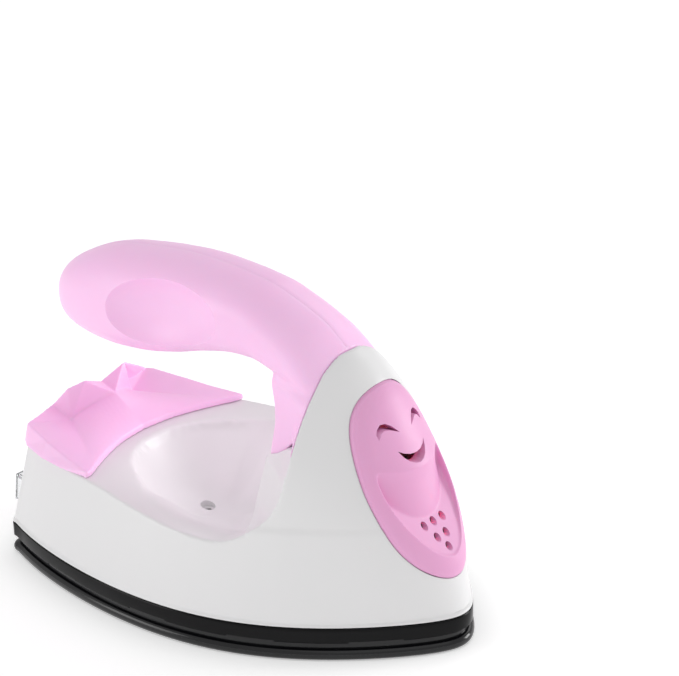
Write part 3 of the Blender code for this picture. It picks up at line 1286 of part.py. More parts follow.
def long_screws(bench):
    screw(bench, "dish_screw", upright(*DISH_PLACE, DISH_SEAT_Z), DISH_SEAT_Z - SCREW_TIP)
    x, y = HEEL_BOSS_PLACE
    tenon_x, tenon_z = TENON_SCREW_PLACE
    for side in (1, -1):
        screw(bench, side_name("heel_screw", side), upright(side * x, y, HEEL_SEAT_Z), HEEL_SEAT_Z - SCREW_TIP)
        frame = facing_front(side * tenon_x, TENON_SCREW_SEAT_Y, tenon_z)
        screw(bench, side_name("stem_screw", side), frame, TENON_SCREW_REACH)
    for name, (joint_y, joint_z) in zip(("handle_screw_rear", "handle_screw_front"), JOINT_SCREW_PLACES):
        frame = facing_side(JOINT_SEAT_X, joint_y, joint_z, 1)
        screw(bench, name, frame, JOINT_SEAT_X - JOINT_TIP_X - 2 * GAP)


def main():
    bench = Bench()
    soleplate(bench)
    sole_skirt(bench)
    shell = body_shell(bench)
    panel = nose_panel(bench)
    seat_panel(bench, shell, panel)
    heel_cover(bench, shell)
    handle_halves(bench)
    fit_handle(bench, shell)
    heel_feet(bench, shell)
    power_inlet(bench, shell)
    heater(bench)
    fuse_and_clip(bench)
    thermostat(bench)
    light(bench, shell)
    long_screws(bench)
    wires(bench)


main()
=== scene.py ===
"""Looks of the mini craft iron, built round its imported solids.

The nose points along -Y, the heel along +Y, up is +Z and the sole's face lies at Z = 0.
All lengths are metres.
"""

import json
import logging
import math
from bisect import bisect_right
from collections.abc import Callable, Iterable, Sequence
from dataclasses import dataclass
from enum import Enum

import bmesh
import bpy
from mathutils import Matrix, Vector


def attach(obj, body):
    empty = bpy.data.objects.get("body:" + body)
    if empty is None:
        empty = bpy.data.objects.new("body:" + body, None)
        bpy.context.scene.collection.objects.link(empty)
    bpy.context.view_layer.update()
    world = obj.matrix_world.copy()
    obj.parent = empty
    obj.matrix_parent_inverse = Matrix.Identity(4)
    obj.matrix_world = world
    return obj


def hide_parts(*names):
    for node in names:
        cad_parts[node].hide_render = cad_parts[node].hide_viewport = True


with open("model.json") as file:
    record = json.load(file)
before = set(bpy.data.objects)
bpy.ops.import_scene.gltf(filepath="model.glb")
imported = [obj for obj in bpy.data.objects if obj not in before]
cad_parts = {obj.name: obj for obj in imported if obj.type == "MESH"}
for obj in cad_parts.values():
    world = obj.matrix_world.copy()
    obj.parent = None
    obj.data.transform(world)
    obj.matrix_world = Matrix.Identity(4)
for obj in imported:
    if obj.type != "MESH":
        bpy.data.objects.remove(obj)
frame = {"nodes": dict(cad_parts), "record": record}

LOG = logging.getLogger("mini_craft_iron")
BODY = "iron"
MM = 0.001
WELD = 0.002 * MM
ROD_SIDES = 48
BORE_SIDES = 24
BALL_SIDES = (96, 64)
Point = tuple[float, float, float]
Pair = tuple[float, float]
Ring = list[Point]
Rows = tuple[tuple[float, ...], ...]
Colour = tuple[float, float, float]
Solid = bpy.types.Object
Socket = bpy.types.NodeSocket
WORLD = Matrix.Identity(4)


def mm(*values: float) -> tuple[float, ...]:
    """Millimetres as metres."""
    return tuple(value * MM for value in values)


def mm_rows(*rows: Sequence[float]) -> Rows:
    """Rows of millimetres as rows of metres."""
    return tuple(mm(*row) for row in rows)


def lerp(low: float, high: float, share: float) -> float:
    """The value a share of the way from low to high."""
    return low + (high - low) * share


def between(value: float, low: float, high: float) -> float:
    """How far a value lies from low to high, held within 0 and 1."""
    return min(max((value - low) / (high - low), 0.0), 1.0)


def spread(low: float, high: float, steps: int) -> list[float]:
    """Values from low to high in even steps."""
    return [lerp(low, high, i / steps) for i in range(steps + 1)]


def eased(share: float) -> float:
    """A share that leaves 0 and reaches 1 with no slope."""
    return share * share * (3.0 - 2.0 * share)


class Table:
    """A smooth monotone line through given points."""

    def __init__(self, pairs: Iterable[Sequence[float]]) -> None:
        """Prepares the line.

        Args:
            pairs: rows of place and value, in any order.
        """
        ordered = sorted((row[0], row[1]) for row in pairs)
        self.xs = [x for x, _ in ordered]
        self.ys = [y for _, y in ordered]
        slopes = [
            (self.ys[i + 1] - self.ys[i]) / (self.xs[i + 1] - self.xs[i])
            for i in range(len(self.xs) - 1)
        ]
        self.tangents = [slopes[0]]
        for before, after in zip(slopes, slopes[1:]):
            flat = before * after <= 0
            self.tangents.append(0.0 if flat else 2 * before * after / (before + after))
        self.tangents.append(slopes[-1])

    def __call__(self, value: float) -> float:
        """The line's height at a place, level beyond its ends."""
        if value <= self.xs[0]:
            return self.ys[0]
        if value >= self.xs[-1]:
            return self.ys[-1]
        i = bisect_right(self.xs, value) - 1
        width = self.xs[i + 1] - self.xs[i]
        t = (value - self.xs[i]) / width
        near = (1 + 2 * t) * (1 - t) ** 2 * self.ys[i] + t * (1 - t) ** 2 * width * self.tangents[i]
        far = t * t * (3 - 2 * t) * self.ys[i + 1] + t * t * (t - 1) * width * self.tangents[i + 1]
        return near + far


def columns(rows: Rows) -> list[Table]:
    """A line for each further column of a table, over its first column."""
    return [Table((row[0], row[k]) for row in rows) for k in range(1, len(rows[0]))]


class Join(Enum):
    """How one solid is combined with another."""

    ADD = "UNION"
    CUT = "DIFFERENCE"
    KEEP = "INTERSECT"


def linked(name: str, data: bpy.types.ID) -> Solid:
    """A new object in the scene that carries some data."""
    obj = bpy.data.objects.new(name, data)
    bpy.context.scene.collection.objects.link(obj)
    return obj


def object_from(name: str, bm: bmesh.types.BMesh) -> Solid:
    """A linked object from closed mesh data, with its faces turned outwards.

    Args:
        name: the object's name.
        bm: the mesh data, freed here.

    Returns:
        The object, at the origin.
    """
    bmesh.ops.recalc_face_normals(bm, faces=bm.faces)
    mesh = bpy.data.meshes.new(name)
    bm.to_mesh(mesh)
    bm.free()
    mesh.shade_smooth()
    return linked(name, mesh)


def skin(name: str, rings: Sequence[Sequence[Point]]) -> Solid:
    """A closed skin over rings of equal point count, with a flat face on each end.

    Args:
        name: the object's name.
        rings: the rings, in order along the solid.

    Returns:
        The solid.
    """
    bm = bmesh.new()
    table = [[bm.verts.new(point) for point in ring] for ring in rings]
    count = len(table[0])
    for low, high in zip(table, table[1:]):
        for i in range(count):
            j = (i + 1) % count
            bm.faces.new((low[i], low[j], high[j], high[i]))
    bm.faces.new(table[0])
    bm.faces.new(table[-1])
    return object_from(name, bm)


def both_sides(half: Sequence[Point]) -> Ring:
    """A full ring from a half on the +X side that starts and ends on the middle plane."""
    return list(half) + [(-x, y, z) for x, y, z in reversed(half[1:-1])]


def block(
    name: str, size: Sequence[float], centre: Sequence[float], place: Matrix = WORLD
) -> Solid:
    """A rectangular solid in a frame."""
    bm = bmesh.new()
    matrix = place @ Matrix.Translation(centre) @ Matrix.Diagonal((*size, 1.0))
    bmesh.ops.create_cube(bm, size=1.0, matrix=matrix)
    return object_from(name, bm)


def rod(radius: float, low: float, high: float, place: Matrix, sides: int = ROD_SIDES) -> Solid:
    """A round rod between two heights of a frame."""
    bm = bmesh.new()
    size = {"radius1": radius, "radius2": radius, "depth": high - low}
    middle = place @ Matrix.Translation((0.0, 0.0, (low + high) / 2))
    bmesh.ops.create_cone(bm, cap_ends=True, segments=sides, matrix=middle, **size)
    return object_from("rod", bm)


def upright(x: float, y: float) -> Matrix:
    """Frame on the ground whose up axis is the world's."""
    return Matrix.Translation((x, y, 0.0))


def facing_front(x: float, z: float) -> Matrix:
    """Frame in the plane Y = 0 whose up axis points out of the nose."""
    return Matrix.Translation((x, 0.0, z)) @ Matrix.Rotation(math.pi / 2, 4, "X")


def facing_side(y: float, z: float) -> Matrix:
    """Frame in the plane X = 0 whose up axis points along +X."""
    return Matrix.Translation((0.0, y, z)) @ Matrix.Rotation(math.pi / 2, 4, "Y")


def mirrored(
    rows: Rows, place: Callable[[float, float], Matrix], sides: int = ROD_SIDES
) -> list[Solid]:
    """Round rods, in pairs where they stand off the middle plane.

    Args:
        rows: radius, low end, high end and the two values that place the +X rod.
        place: gives the frame from those two values.
        sides: the sides of each rod.

    Returns:
        The rods, the +X one of each pair first.
    """
    return [
        rod(radius, low, high, place(side * x, along), sides)
        for radius, low, high, x, along in rows
        for side in ((1, -1) if x else (1,))
    ]


def ball(name: str, radii: Sequence[float], place: Matrix) -> Solid:
    """An ellipsoid in a frame."""
    bm = bmesh.new()
    around, along = BALL_SIDES
    matrix = place @ Matrix.Diagonal((*radii, 1.0))
    bmesh.ops.create_uvsphere(bm, u_segments=around, v_segments=along, radius=1.0, matrix=matrix)
    return object_from(name, bm)


def prism(name: str, outline: Sequence[Pair], front: float, back: float) -> Solid:
    """An outline seen from the front, as (x, z) points, carried between two depths."""
    return skin(name, [[(x, y, z) for x, z in outline] for y in (front, back)])


def settle(obj: Solid) -> Solid:
    """Turns an object's live modifiers into plain mesh."""
    bpy.context.view_layer.update()
    graph = bpy.context.evaluated_depsgraph_get()
    old = obj.data
    obj.data = bpy.data.meshes.new_from_object(obj.evaluated_get(graph))
    obj.modifiers.clear()
    bpy.data.meshes.remove(old)
    return obj


def combine(obj: Solid, way: Join, *others: Solid) -> Solid:
    """Combines solids and removes the helpers.

    Args:
        obj: the solid that stays.
        way: add, cut or keep.
        others: the helpers, removed afterwards.

    Returns:
        The solid that stays.
    """
    for other in others:
        modifier = obj.modifiers.new(other.name, "BOOLEAN")
        modifier.operation = way.value
        modifier.solver = "MANIFOLD"
        modifier.object = other
    settle(obj)
    for other in others:
        bpy.data.objects.remove(other, do_unlink=True)
    return obj


def melt(obj: Solid, grid: float, passes: int) -> Solid:
    """Rebuilds a solid on a fine grid and eases its edges, as a mould's small radii do.

    Args:
        obj: the solid.
        grid: the grid's pitch.
        passes: how often the surface is eased.

    Returns:
        The same object.
    """
    remesh = obj.modifiers.new("grid", "REMESH")
    remesh.mode = "VOXEL"
    remesh.voxel_size = grid
    remesh.use_smooth_shade = True
    ease = obj.modifiers.new("ease", "SMOOTH")
    ease.factor = 0.5
    ease.iterations = passes
    settle(obj)
    obj.data.shade_smooth()
    return obj


def crisp(obj: Solid, degrees: float = 32.0) -> Solid:
    """Shades an object smooth, apart from edges sharper than an angle."""
    bm = bmesh.new()
    bm.from_mesh(obj.data)
    bmesh.ops.remove_doubles(bm, verts=bm.verts, dist=WELD)
    limit = math.radians(degrees)
    for face in bm.faces:
        face.smooth = True
    for edge in bm.edges:
        edge.smooth = len(edge.link_faces) == 2 and edge.calc_face_angle(0.0) < limit
    bm.to_mesh(obj.data)
    bm.free()
    return obj


# outline and body surfaces


@dataclass(frozen=True)
class SoleOutline:
    """The outline that the sole, the band and the shell share."""

    length: float = 105.0 * MM
    shares: tuple[float, ...] = (0.345, 1.2379, -3.346, 3.0508, -1.0758)
    corner: float = 2.3 * MM
    least_corner: float = 0.4 * MM
    corner_steps: int = 10
    steps: int = 70
    crowding: float = 1.35
    tip: float = 0.02 * MM
    slope_reach: float = 3.0 * MM

    @property
    def nose(self) -> float:
        """The nose tip's place."""
        return -self.length / 2

    @property
    def heel(self) -> float:
        """The heel's place."""
        return self.length / 2

    def half_width(self, y: float) -> float:
        """Half the sole's width at a place along it."""
        share = between(y, self.nose, self.heel)
        total = sum(c * share**power for power, c in enumerate(self.shares))
        return self.length * math.sqrt(share) * total

    def half(self, inset: float) -> list[Pair]:
        """The outline's +X half, moved inwards.

        Args:
            inset: how far the outline moves inwards.

        Returns:
            Points (x, y) from the nose to the middle of the heel.
        """
        radius = max(self.corner - inset, self.least_corner)
        reach = self.slope_reach
        slope = (self.half_width(self.heel) - self.half_width(self.heel - reach)) / reach
        rear = self.heel - inset - radius - inset * slope / math.hypot(1.0, slope)
        points = []
        for i in range(self.steps + 1):
            step = i / self.steps
            y = lerp(self.nose, rear, lerp(step, step**3, 0.5) ** self.crowding)
            points.append((self.half_width(y), y))
        moved = [(0.0, self.nose + inset)]
        for before, (x, y), after in zip(points, points[1:], points[2:] + points[-1:]):
            dx, dy = after[0] - before[0], after[1] - before[1]
            run = math.hypot(dx, dy)
            moved.append((max(x - dy / run * inset, self.tip), y + dx / run * inset))
        x, y = moved[-1]
        for i in range(1, self.corner_steps + 1):
            angle = math.pi / 2 * i / self.corner_steps
            moved.append((x - radius * (1.0 - math.cos(angle)), y + radius * math.sin(angle)))
        moved.append((0.0, moved[-1][1]))
        return moved

    def ring(self, inset: float, z: float) -> Ring:
        """The whole outline at a height."""
        return both_sides([(x, y, z) for x, y in self.half(inset)])

    def stack(self, name: str, levels: Sequence[Pair]) -> Solid:
        """A solid that follows the outline, from (inset, height) pairs."""
        return skin(name, [self.ring(inset, z) for inset, z in levels])


@dataclass(frozen=True)
class HullForm:
    """The outer surface of the shell: its sides, the nose and the arch above the seam."""

    sole: SoleOutline
    arch_y: float = -24.7 * MM
    base: float = 7.2 * MM
    seam: float = 26.4 * MM
    span: float = 18.0 * MM
    heel_lean: float = 0.14
    heel_wall: float = 52.05 * MM
    heel_power: int = 4
    roundness: float = 0.5
    points: int = 40
    crowding: float = 1.8
    behind_arch: float = 1.0 * MM
    blend_zone: Pair = mm(8.0, 28.0)
    lean_zone: Pair = mm(30.0, 47.0)
    most_lean: float = 1.35
    pitch: float = 0.9 * MM
    fine_zone: Pair = mm(50.0, 56.0)
    fine_share: float = 0.3
    least_room: float = 0.9 * MM
    crown: float = 57.25 * MM
    rim: Table = Table([
        (-52.5 * MM, 0.9), (-26.25 * MM, 0.9), (-10.5 * MM, 0.905), (0.0, 0.885),
        (10.5 * MM, 0.855), (21.0 * MM, 0.83), (31.5 * MM, 0.818), (52.5 * MM, 0.81),
    ])
    nose: Table = Table(mm_rows(
        (7.2, -52.3), (11.0, -51.6), (15.0, -50.8), (20.0, -49.4), (25.0, -47.6), (30.0, -45.5),
        (35.0, -42.8), (40.0, -39.9), (45.0, -37.2), (49.0, -34.8), (52.5, -32.2), (55.5, -29.0),
        (57.0, -26.6), (57.5, -25.6),
    ))
    arch: Table = Table(mm_rows(
        (7.2, 26.0), (25.2, 23.4), (28.6, 22.9), (36.0, 21.3), (40.0, 19.9), (43.5, 18.1),
        (47.3, 15.6), (50.5, 13.0), (53.2, 10.4), (55.2, 7.8), (56.5, 5.0), (57.2, 2.6),
        (57.5, 1.0),
    ))

    def side(self, y: float, z: float) -> float:
        """Half width below the seam, behind the arch."""
        fall = (z - self.base) / self.span
        return self.sole.half_width(y) * (1.0 - (1.0 - self.rim(y)) * fall)

    def arch_half(self, z: float) -> float:
        """Half width at the arch plane."""
        return self.side(self.arch_y, z) if z <= self.seam else self.arch(z)

    def outer(self, y: float, z: float) -> float:
        """Half width at any place."""
        if y < self.arch_y:
            nose = self.nose(z)
            return self.arch_half(z) * self.nose_share((y - nose) / (self.arch_y - nose), z)
        low = min(z, self.seam)
        return self.side(y, low) * self.arch_half(z) / self.side(self.arch_y, low)

    def nose_share(self, along: float, z: float) -> float:
        """Half width of the nose as a share of the arch's, from the tip (0) to the arch (1)."""
        y = lerp(self.sole.nose, self.arch_y, along)
        base = self.sole.half_width(y) / self.sole.half_width(self.arch_y)
        return lerp(base, max(along, 0.0) ** self.roundness, between(z, *self.blend_zone))

    def lean(self, z: float, inset: float) -> float:
        """An inset measured level, longer where the nose leans back."""
        return inset * lerp(1.0, self.most_lean, between(z, *self.lean_zone))

    def ring(self, z: float, inset: float) -> Ring:
        """The outline at a height; above the seam its rear only closes the ring."""
        nose = self.nose(z) + self.lean(z, inset)
        width = self.arch_half(z) - self.lean(z, inset)
        points = [(0.0, nose)]
        for i in range(1, self.points):
            along = (i / (self.points - 1)) ** self.crowding
            points.append((width * self.nose_share(along, z), lerp(nose, self.arch_y, along)))
        low = min(z, self.seam)
        shrink = points[-1][0] / (self.side(self.arch_y, low) - inset)
        lean = (low - self.base) * self.heel_lean
        for x, y in self.sole.half(inset)[:-1]:
            if y > self.arch_y + self.behind_arch:
                place = min(y, self.sole.heel)
                ratio = self.side(place, low) / self.sole.half_width(place)
                back = (max(y, 0.0) / self.sole.heel) ** self.heel_power
                points.append((x * ratio * shrink, y - lean * back))
        points.append((0.0, points[-1][1]))
        return both_sides([(x, y, z) for x, y in points])

    def solid(self, name: str, inset: float, bottom: float = 4.0 * MM) -> Solid:
        """The whole outer body at an inset, as high as it still has room."""
        room = max(inset, 0.0) * self.most_lean + self.least_room
        levels = [bottom]
        z = bottom + self.pitch
        while min(self.arch_half(z), self.arch_y - self.nose(z)) > room and z < self.crown:
            levels.append(z)
            z += self.pitch * lerp(1.0, self.fine_share, between(z, *self.fine_zone))
        return skin(name, [self.ring(level, inset) for level in levels])

    def heel_frame(self, x: float, z: float) -> Matrix:
        """Frame on the sloping heel wall whose up axis points out of it."""
        y = self.heel_wall - (z - self.base) * self.heel_lean
        turn = Matrix.Rotation(-math.pi / 2 + math.atan(self.heel_lean), 4, "X")
        return Matrix.Translation((x, y, z)) @ turn


# finishes


class Nodes:
    """A short way to build a material's node tree."""

    def __init__(self, name: str) -> None:
        """Makes an empty material that ends in one Principled shader."""
        self.material = bpy.data.materials.new(name)
        self.material.use_nodes = True
        self.tree = self.material.node_tree
        self.shader = self.tree.nodes["Principled BSDF"]
        self.place = self.add("ShaderNodeTexCoord").outputs["Object"]

    def add(self, kind: str, **values: object) -> bpy.types.Node:
        """Adds a node and sets its properties."""
        node = self.tree.nodes.new(kind)
        for key, value in values.items():
            setattr(node, key, value)
        return node

    def fill(self, node: bpy.types.Node, values: dict[str | int, object]) -> bpy.types.Node:
        """Fills a node's inputs, each with a value or with another node's output."""
        for key, value in values.items():
            if isinstance(value, Socket):
                self.tree.links.new(value, node.inputs[key])
            else:
                node.inputs[key].default_value = value
        return node

    def noise(self, scale: float, detail: float = 3.0, rough: float = 0.55) -> Socket:
        """A noise pattern in object space, about 0.3 to 0.7."""
        values = {"Scale": scale, "Detail": detail, "Roughness": rough, "Vector": self.place}
        return self.fill(self.add("ShaderNodeTexNoise"), values).outputs["Fac"]

    def ramp(self, source: Socket, *ranges: float) -> Socket:
        """Maps one range of a value onto another, given as low, high, new low and new high."""
        node = self.add("ShaderNodeMapRange")
        return self.fill(node, dict(enumerate((source, *ranges)))).outputs[0]

    def blend(self, share: Socket, near: Colour, far: Colour) -> Socket:
        """Mixes two colours."""
        node = self.add("ShaderNodeMix", data_type="RGBA")
        self.fill(node, {"Factor": share, "A": (*near, 1.0), "B": (*far, 1.0)})
        return next(out for out in node.outputs if out.type == "RGBA")

    def bump(self, heights: Sequence[tuple[Socket, float]], edge: float = 0.0) -> None:
        """Stacks bumps on the shader's normal, over softly rounded edges.

        Args:
            heights: pairs of pattern and depth.
            edge: radius that shading rounds edges by, or 0.
        """
        under = {}
        if edge:
            bevel = self.fill(self.add("ShaderNodeBevel", samples=6), {"Radius": edge})
            under = {"Normal": bevel.outputs["Normal"]}
        for height, depth in heights:
            values = {"Strength": 1.0, "Distance": depth, "Height": height, **under}
            node = self.fill(self.add("ShaderNodeBump"), values)
            under = {"Normal": node.outputs["Normal"]}
        self.fill(self.shader, under)


@dataclass(frozen=True)
class MouldedPlastic:
    """Opaque injection-moulded plastic with a fine satin grain."""

    name: str
    colour: Colour
    shade: Colour
    roughness: float = 0.34
    spread: float = 0.05
    depth: float = 0.004 * MM
    glow: float = 0.0
    radius: Colour = (1.0, 0.45, 0.6)
    shine: float = 0.5
    edge: float = 0.0
    # light: emission of the material's own colour; on the lamp it is the lamp's real light, on the
    # pink plastic it is painted glow
    light: float = 0.0
    glow_depth: float = 1.6 * MM
    cloud_scale: float = 26.0
    wear_scale: float = 240.0
    flow_scale: float = 420.0
    grain_scale: float = 3800.0
    flow_share: float = 2.5

    def make(self) -> bpy.types.Material:
        """The material: cloudy colour, flow marks, a grain of bumps, wear in the gloss and an
        emission of its own colour, a painted glow where the piece is no lamp.
        """
        nodes = Nodes(self.name)
        cloud = nodes.ramp(nodes.noise(self.cloud_scale, 4.0), 0.32, 0.68, 0.0, 1.0)
        low, high = self.roughness - self.spread, self.roughness + self.spread
        wear = nodes.ramp(nodes.noise(self.wear_scale, 5.0, 0.65), 0.35, 0.65, low, high)
        flow = (nodes.noise(self.flow_scale, 2.0), self.depth * self.flow_share)
        nodes.bump([flow, (nodes.noise(self.grain_scale, 2.0), self.depth)], self.edge)
        nodes.fill(nodes.shader, {
            "Base Color": nodes.blend(cloud, self.colour, self.shade),
            "Roughness": wear,
            "IOR": 1.5,
            "Specular IOR Level": self.shine,
            # emission of the own colour: on pieces that are no lamp this is painted light that
            # brightens the whole piece evenly
            "Emission Color": (*self.colour, 1.0),
            "Emission Strength": self.light,
            "Subsurface Weight": self.glow,
            "Subsurface Radius": self.radius,
            "Subsurface Scale": self.glow_depth,
        })
        return nodes.material


@dataclass(frozen=True)
class CoatedMetal:
    """A sprayed non-stick coating: dark, satin and finely speckled."""

    name: str
    colour: Colour = (0.004, 0.004, 0.005)
    fleck: Colour = (0.010, 0.010, 0.012)
    roughness: float = 0.15
    shine: float = 0.45
    fleck_scale: float = 2600.0
    gloss_scale: float = 90.0
    peel_scale: float = 900.0
    peel_depth: float = 0.006 * MM

    def make(self) -> bpy.types.Material:
        """The material: flecks in the coating over an orange-peel surface."""
        nodes = Nodes(self.name)
        flecks = nodes.ramp(nodes.noise(self.fleck_scale, 3.0, 0.7), 0.56, 0.70, 0.0, 1.0)
        low, high = self.roughness - 0.05, self.roughness + 0.08
        nodes.fill(nodes.shader, {
            "Base Color": nodes.blend(flecks, self.colour, self.fleck),
            "Roughness": nodes.ramp(nodes.noise(self.gloss_scale, 4.0), 0.3, 0.7, low, high),
            "Specular IOR Level": self.shine,
        })
        nodes.bump([(nodes.noise(self.peel_scale, 3.0), self.peel_depth)])
        return nodes.material


@dataclass(frozen=True)
class BareMetal:
    """Plated or pressed metal with fine rolling lines."""

    name: str
    colour: Colour
    roughness: float = 0.28
    stretch: Point = (3000.0, 60.0, 3000.0)
    stain_scale: float = 160.0
    stain_share: float = 0.72
    line_depth: float = 0.003 * MM

    def make(self) -> bpy.types.Material:
        """The material: drawn lines, stains and small dents."""
        nodes = Nodes(self.name)
        drawn = {"Scale": self.stretch, "Vector": nodes.place}
        vector = nodes.fill(nodes.add("ShaderNodeMapping"), drawn).outputs["Vector"]
        lines = nodes.fill(nodes.add("ShaderNodeTexNoise"), {"Scale": 1.0, "Vector": vector})
        dark = tuple(channel * self.stain_share for channel in self.colour)
        stain = nodes.ramp(nodes.noise(self.stain_scale, 4.0), 0.38, 0.66, 0.0, 1.0)
        low, high = self.roughness - 0.08, self.roughness + 0.12
        nodes.fill(nodes.shader, {
            "Base Color": nodes.blend(stain, self.colour, dark),
            "Roughness": nodes.ramp(lines.outputs["Fac"], 0.3, 0.7, low, high),
            "Metallic": 1.0,
        })
        nodes.bump([(lines.outputs["Fac"], self.line_depth)])
        return nodes.material


@dataclass(frozen=True)
class ClearSilicone:
    """Soft clear plastic of the heel feet."""

    name: str
    colour: Colour = (0.93, 0.95, 0.96)
    clearness: float = 0.82
    ior: float = 1.42
    frost_scale: float = 500.0
    ripple_scale: float = 700.0
    ripple_depth: float = 0.004 * MM

    def make(self) -> bpy.types.Material:
        """The material: mostly see-through, with a slightly frosted skin."""
        nodes = Nodes(self.name)
        nodes.fill(nodes.shader, {
            "Base Color": (*self.colour, 1.0),
            "Roughness": nodes.ramp(nodes.noise(self.frost_scale, 3.0), 0.3, 0.7, 0.10, 0.22),
            "Transmission Weight": self.clearness,
            "IOR": self.ior,
        })
        nodes.bump([(nodes.noise(self.ripple_scale, 2.0), self.ripple_depth)])
        return nodes.material


@dataclass(frozen=True)
class Mineral:
    """Mica sheet, ceramic or circuit board: layered flecks in a dull body."""

    name: str
    colour: Colour
    fleck: Colour
    roughness: float = 0.5
    flake_scale: float = 900.0
    flake_depth: float = 0.01 * MM
    dry_scale: float = 300.0

    def make(self) -> bpy.types.Material:
        """The material: flakes of a second colour with a dry surface."""
        nodes = Nodes(self.name)
        values = {"Scale": self.flake_scale, "Vector": nodes.place}
        flakes = nodes.fill(nodes.add("ShaderNodeTexVoronoi"), values).outputs["Distance"]
        share = nodes.ramp(flakes, 0.1, 0.7, 0.0, 1.0)
        low, high = self.roughness - 0.08, self.roughness + 0.1
        nodes.fill(nodes.shader, {
            "Base Color": nodes.blend(share, self.colour, self.fleck),
            "Roughness": nodes.ramp(nodes.noise(self.dry_scale), 0.3, 0.7, low, high),
        })
        nodes.bump([(flakes, self.flake_depth)])
        return nodes.material


PINK = (0.93, 0.575, 0.84)
PANEL_PINK = (0.80, 0.39, 0.64)
WHITE = (0.77, 0.765, 0.77)


class FinishBook:
    """Every finish of the iron, made once."""

    def __init__(self) -> None:
        """Makes the materials under the record's slot names."""
        finishes = [
            # handle_pink's light=0.05 is painted light: a faint glow of its own pink that brightens
            # the handle and the heel cover, which are no lamp
            MouldedPlastic("handle_pink", PINK, (0.92, 0.53, 0.805), 0.36, glow=0.25, light=0.05),
            MouldedPlastic("panel_pink", PANEL_PINK, (0.79, 0.375, 0.625), 0.44, glow=0.12),
            MouldedPlastic(
                "shell_white", WHITE, (0.76, 0.755, 0.76), 0.33, 0.03, 0.002 * MM, glow=0.10,
                radius=(1.0, 0.9, 0.9), edge=0.25 * MM,
            ),
            MouldedPlastic(
                "gloss_black", (0.002, 0.002, 0.0025), (0.003, 0.003, 0.0035), 0.16, 0.03,
                0.002 * MM, shine=0.16, edge=0.2 * MM,
            ),
            CoatedMetal("coated_black"),
            ClearSilicone("clear"),
            BareMetal("steel", (0.60, 0.60, 0.61)),
            BareMetal("brass", (0.74, 0.54, 0.24), 0.24),
            BareMetal("aluminium", (0.74, 0.74, 0.75), 0.32),
            BareMetal("bimetal", (0.52, 0.48, 0.42), 0.30),
            Mineral("mica", (0.52, 0.47, 0.36), (0.66, 0.60, 0.47)),
            Mineral("ceramic", (0.84, 0.82, 0.76), (0.88, 0.86, 0.81), 0.42),
            Mineral("phenolic", (0.075, 0.042, 0.028), (0.11, 0.065, 0.04), 0.42),
            Mineral("board_green", (0.022, 0.14, 0.06), (0.03, 0.17, 0.08), 0.40),
            MouldedPlastic("lamp_red", (0.80, 0.03, 0.10), (0.72, 0.03, 0.09), 0.16, light=20.0),
            MouldedPlastic("wire_red", (0.50, 0.03, 0.03), (0.43, 0.025, 0.025), 0.44),
            MouldedPlastic("wire_blue", (0.03, 0.08, 0.42), (0.025, 0.065, 0.36), 0.44),
        ]
        self.made = {finish.name: finish.make() for finish in finishes}

    def __getitem__(self, slot: str) -> bpy.types.Material:
        """The material of a slot."""
        return self.made[slot]


@dataclass
class Maker:
    """Dresses finished pieces and hands them to the frame."""

    finishes: FinishBook

    def finish(self, obj: Solid, slot: str, node: str) -> Solid:
        """Gives a piece its material and body, and lets it stand for a CAD node.

        Args:
            obj: the piece.
            slot: the record's material slot.
            node: the CAD node that it stands for.

        Returns:
            The piece.
        """
        obj.data.materials.clear()
        obj.data.materials.append(self.finishes[slot])
        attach(obj, BODY)
        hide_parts(node)
        LOG.info("%s: %d faces", obj.name, len(obj.data.polygons))
        return obj


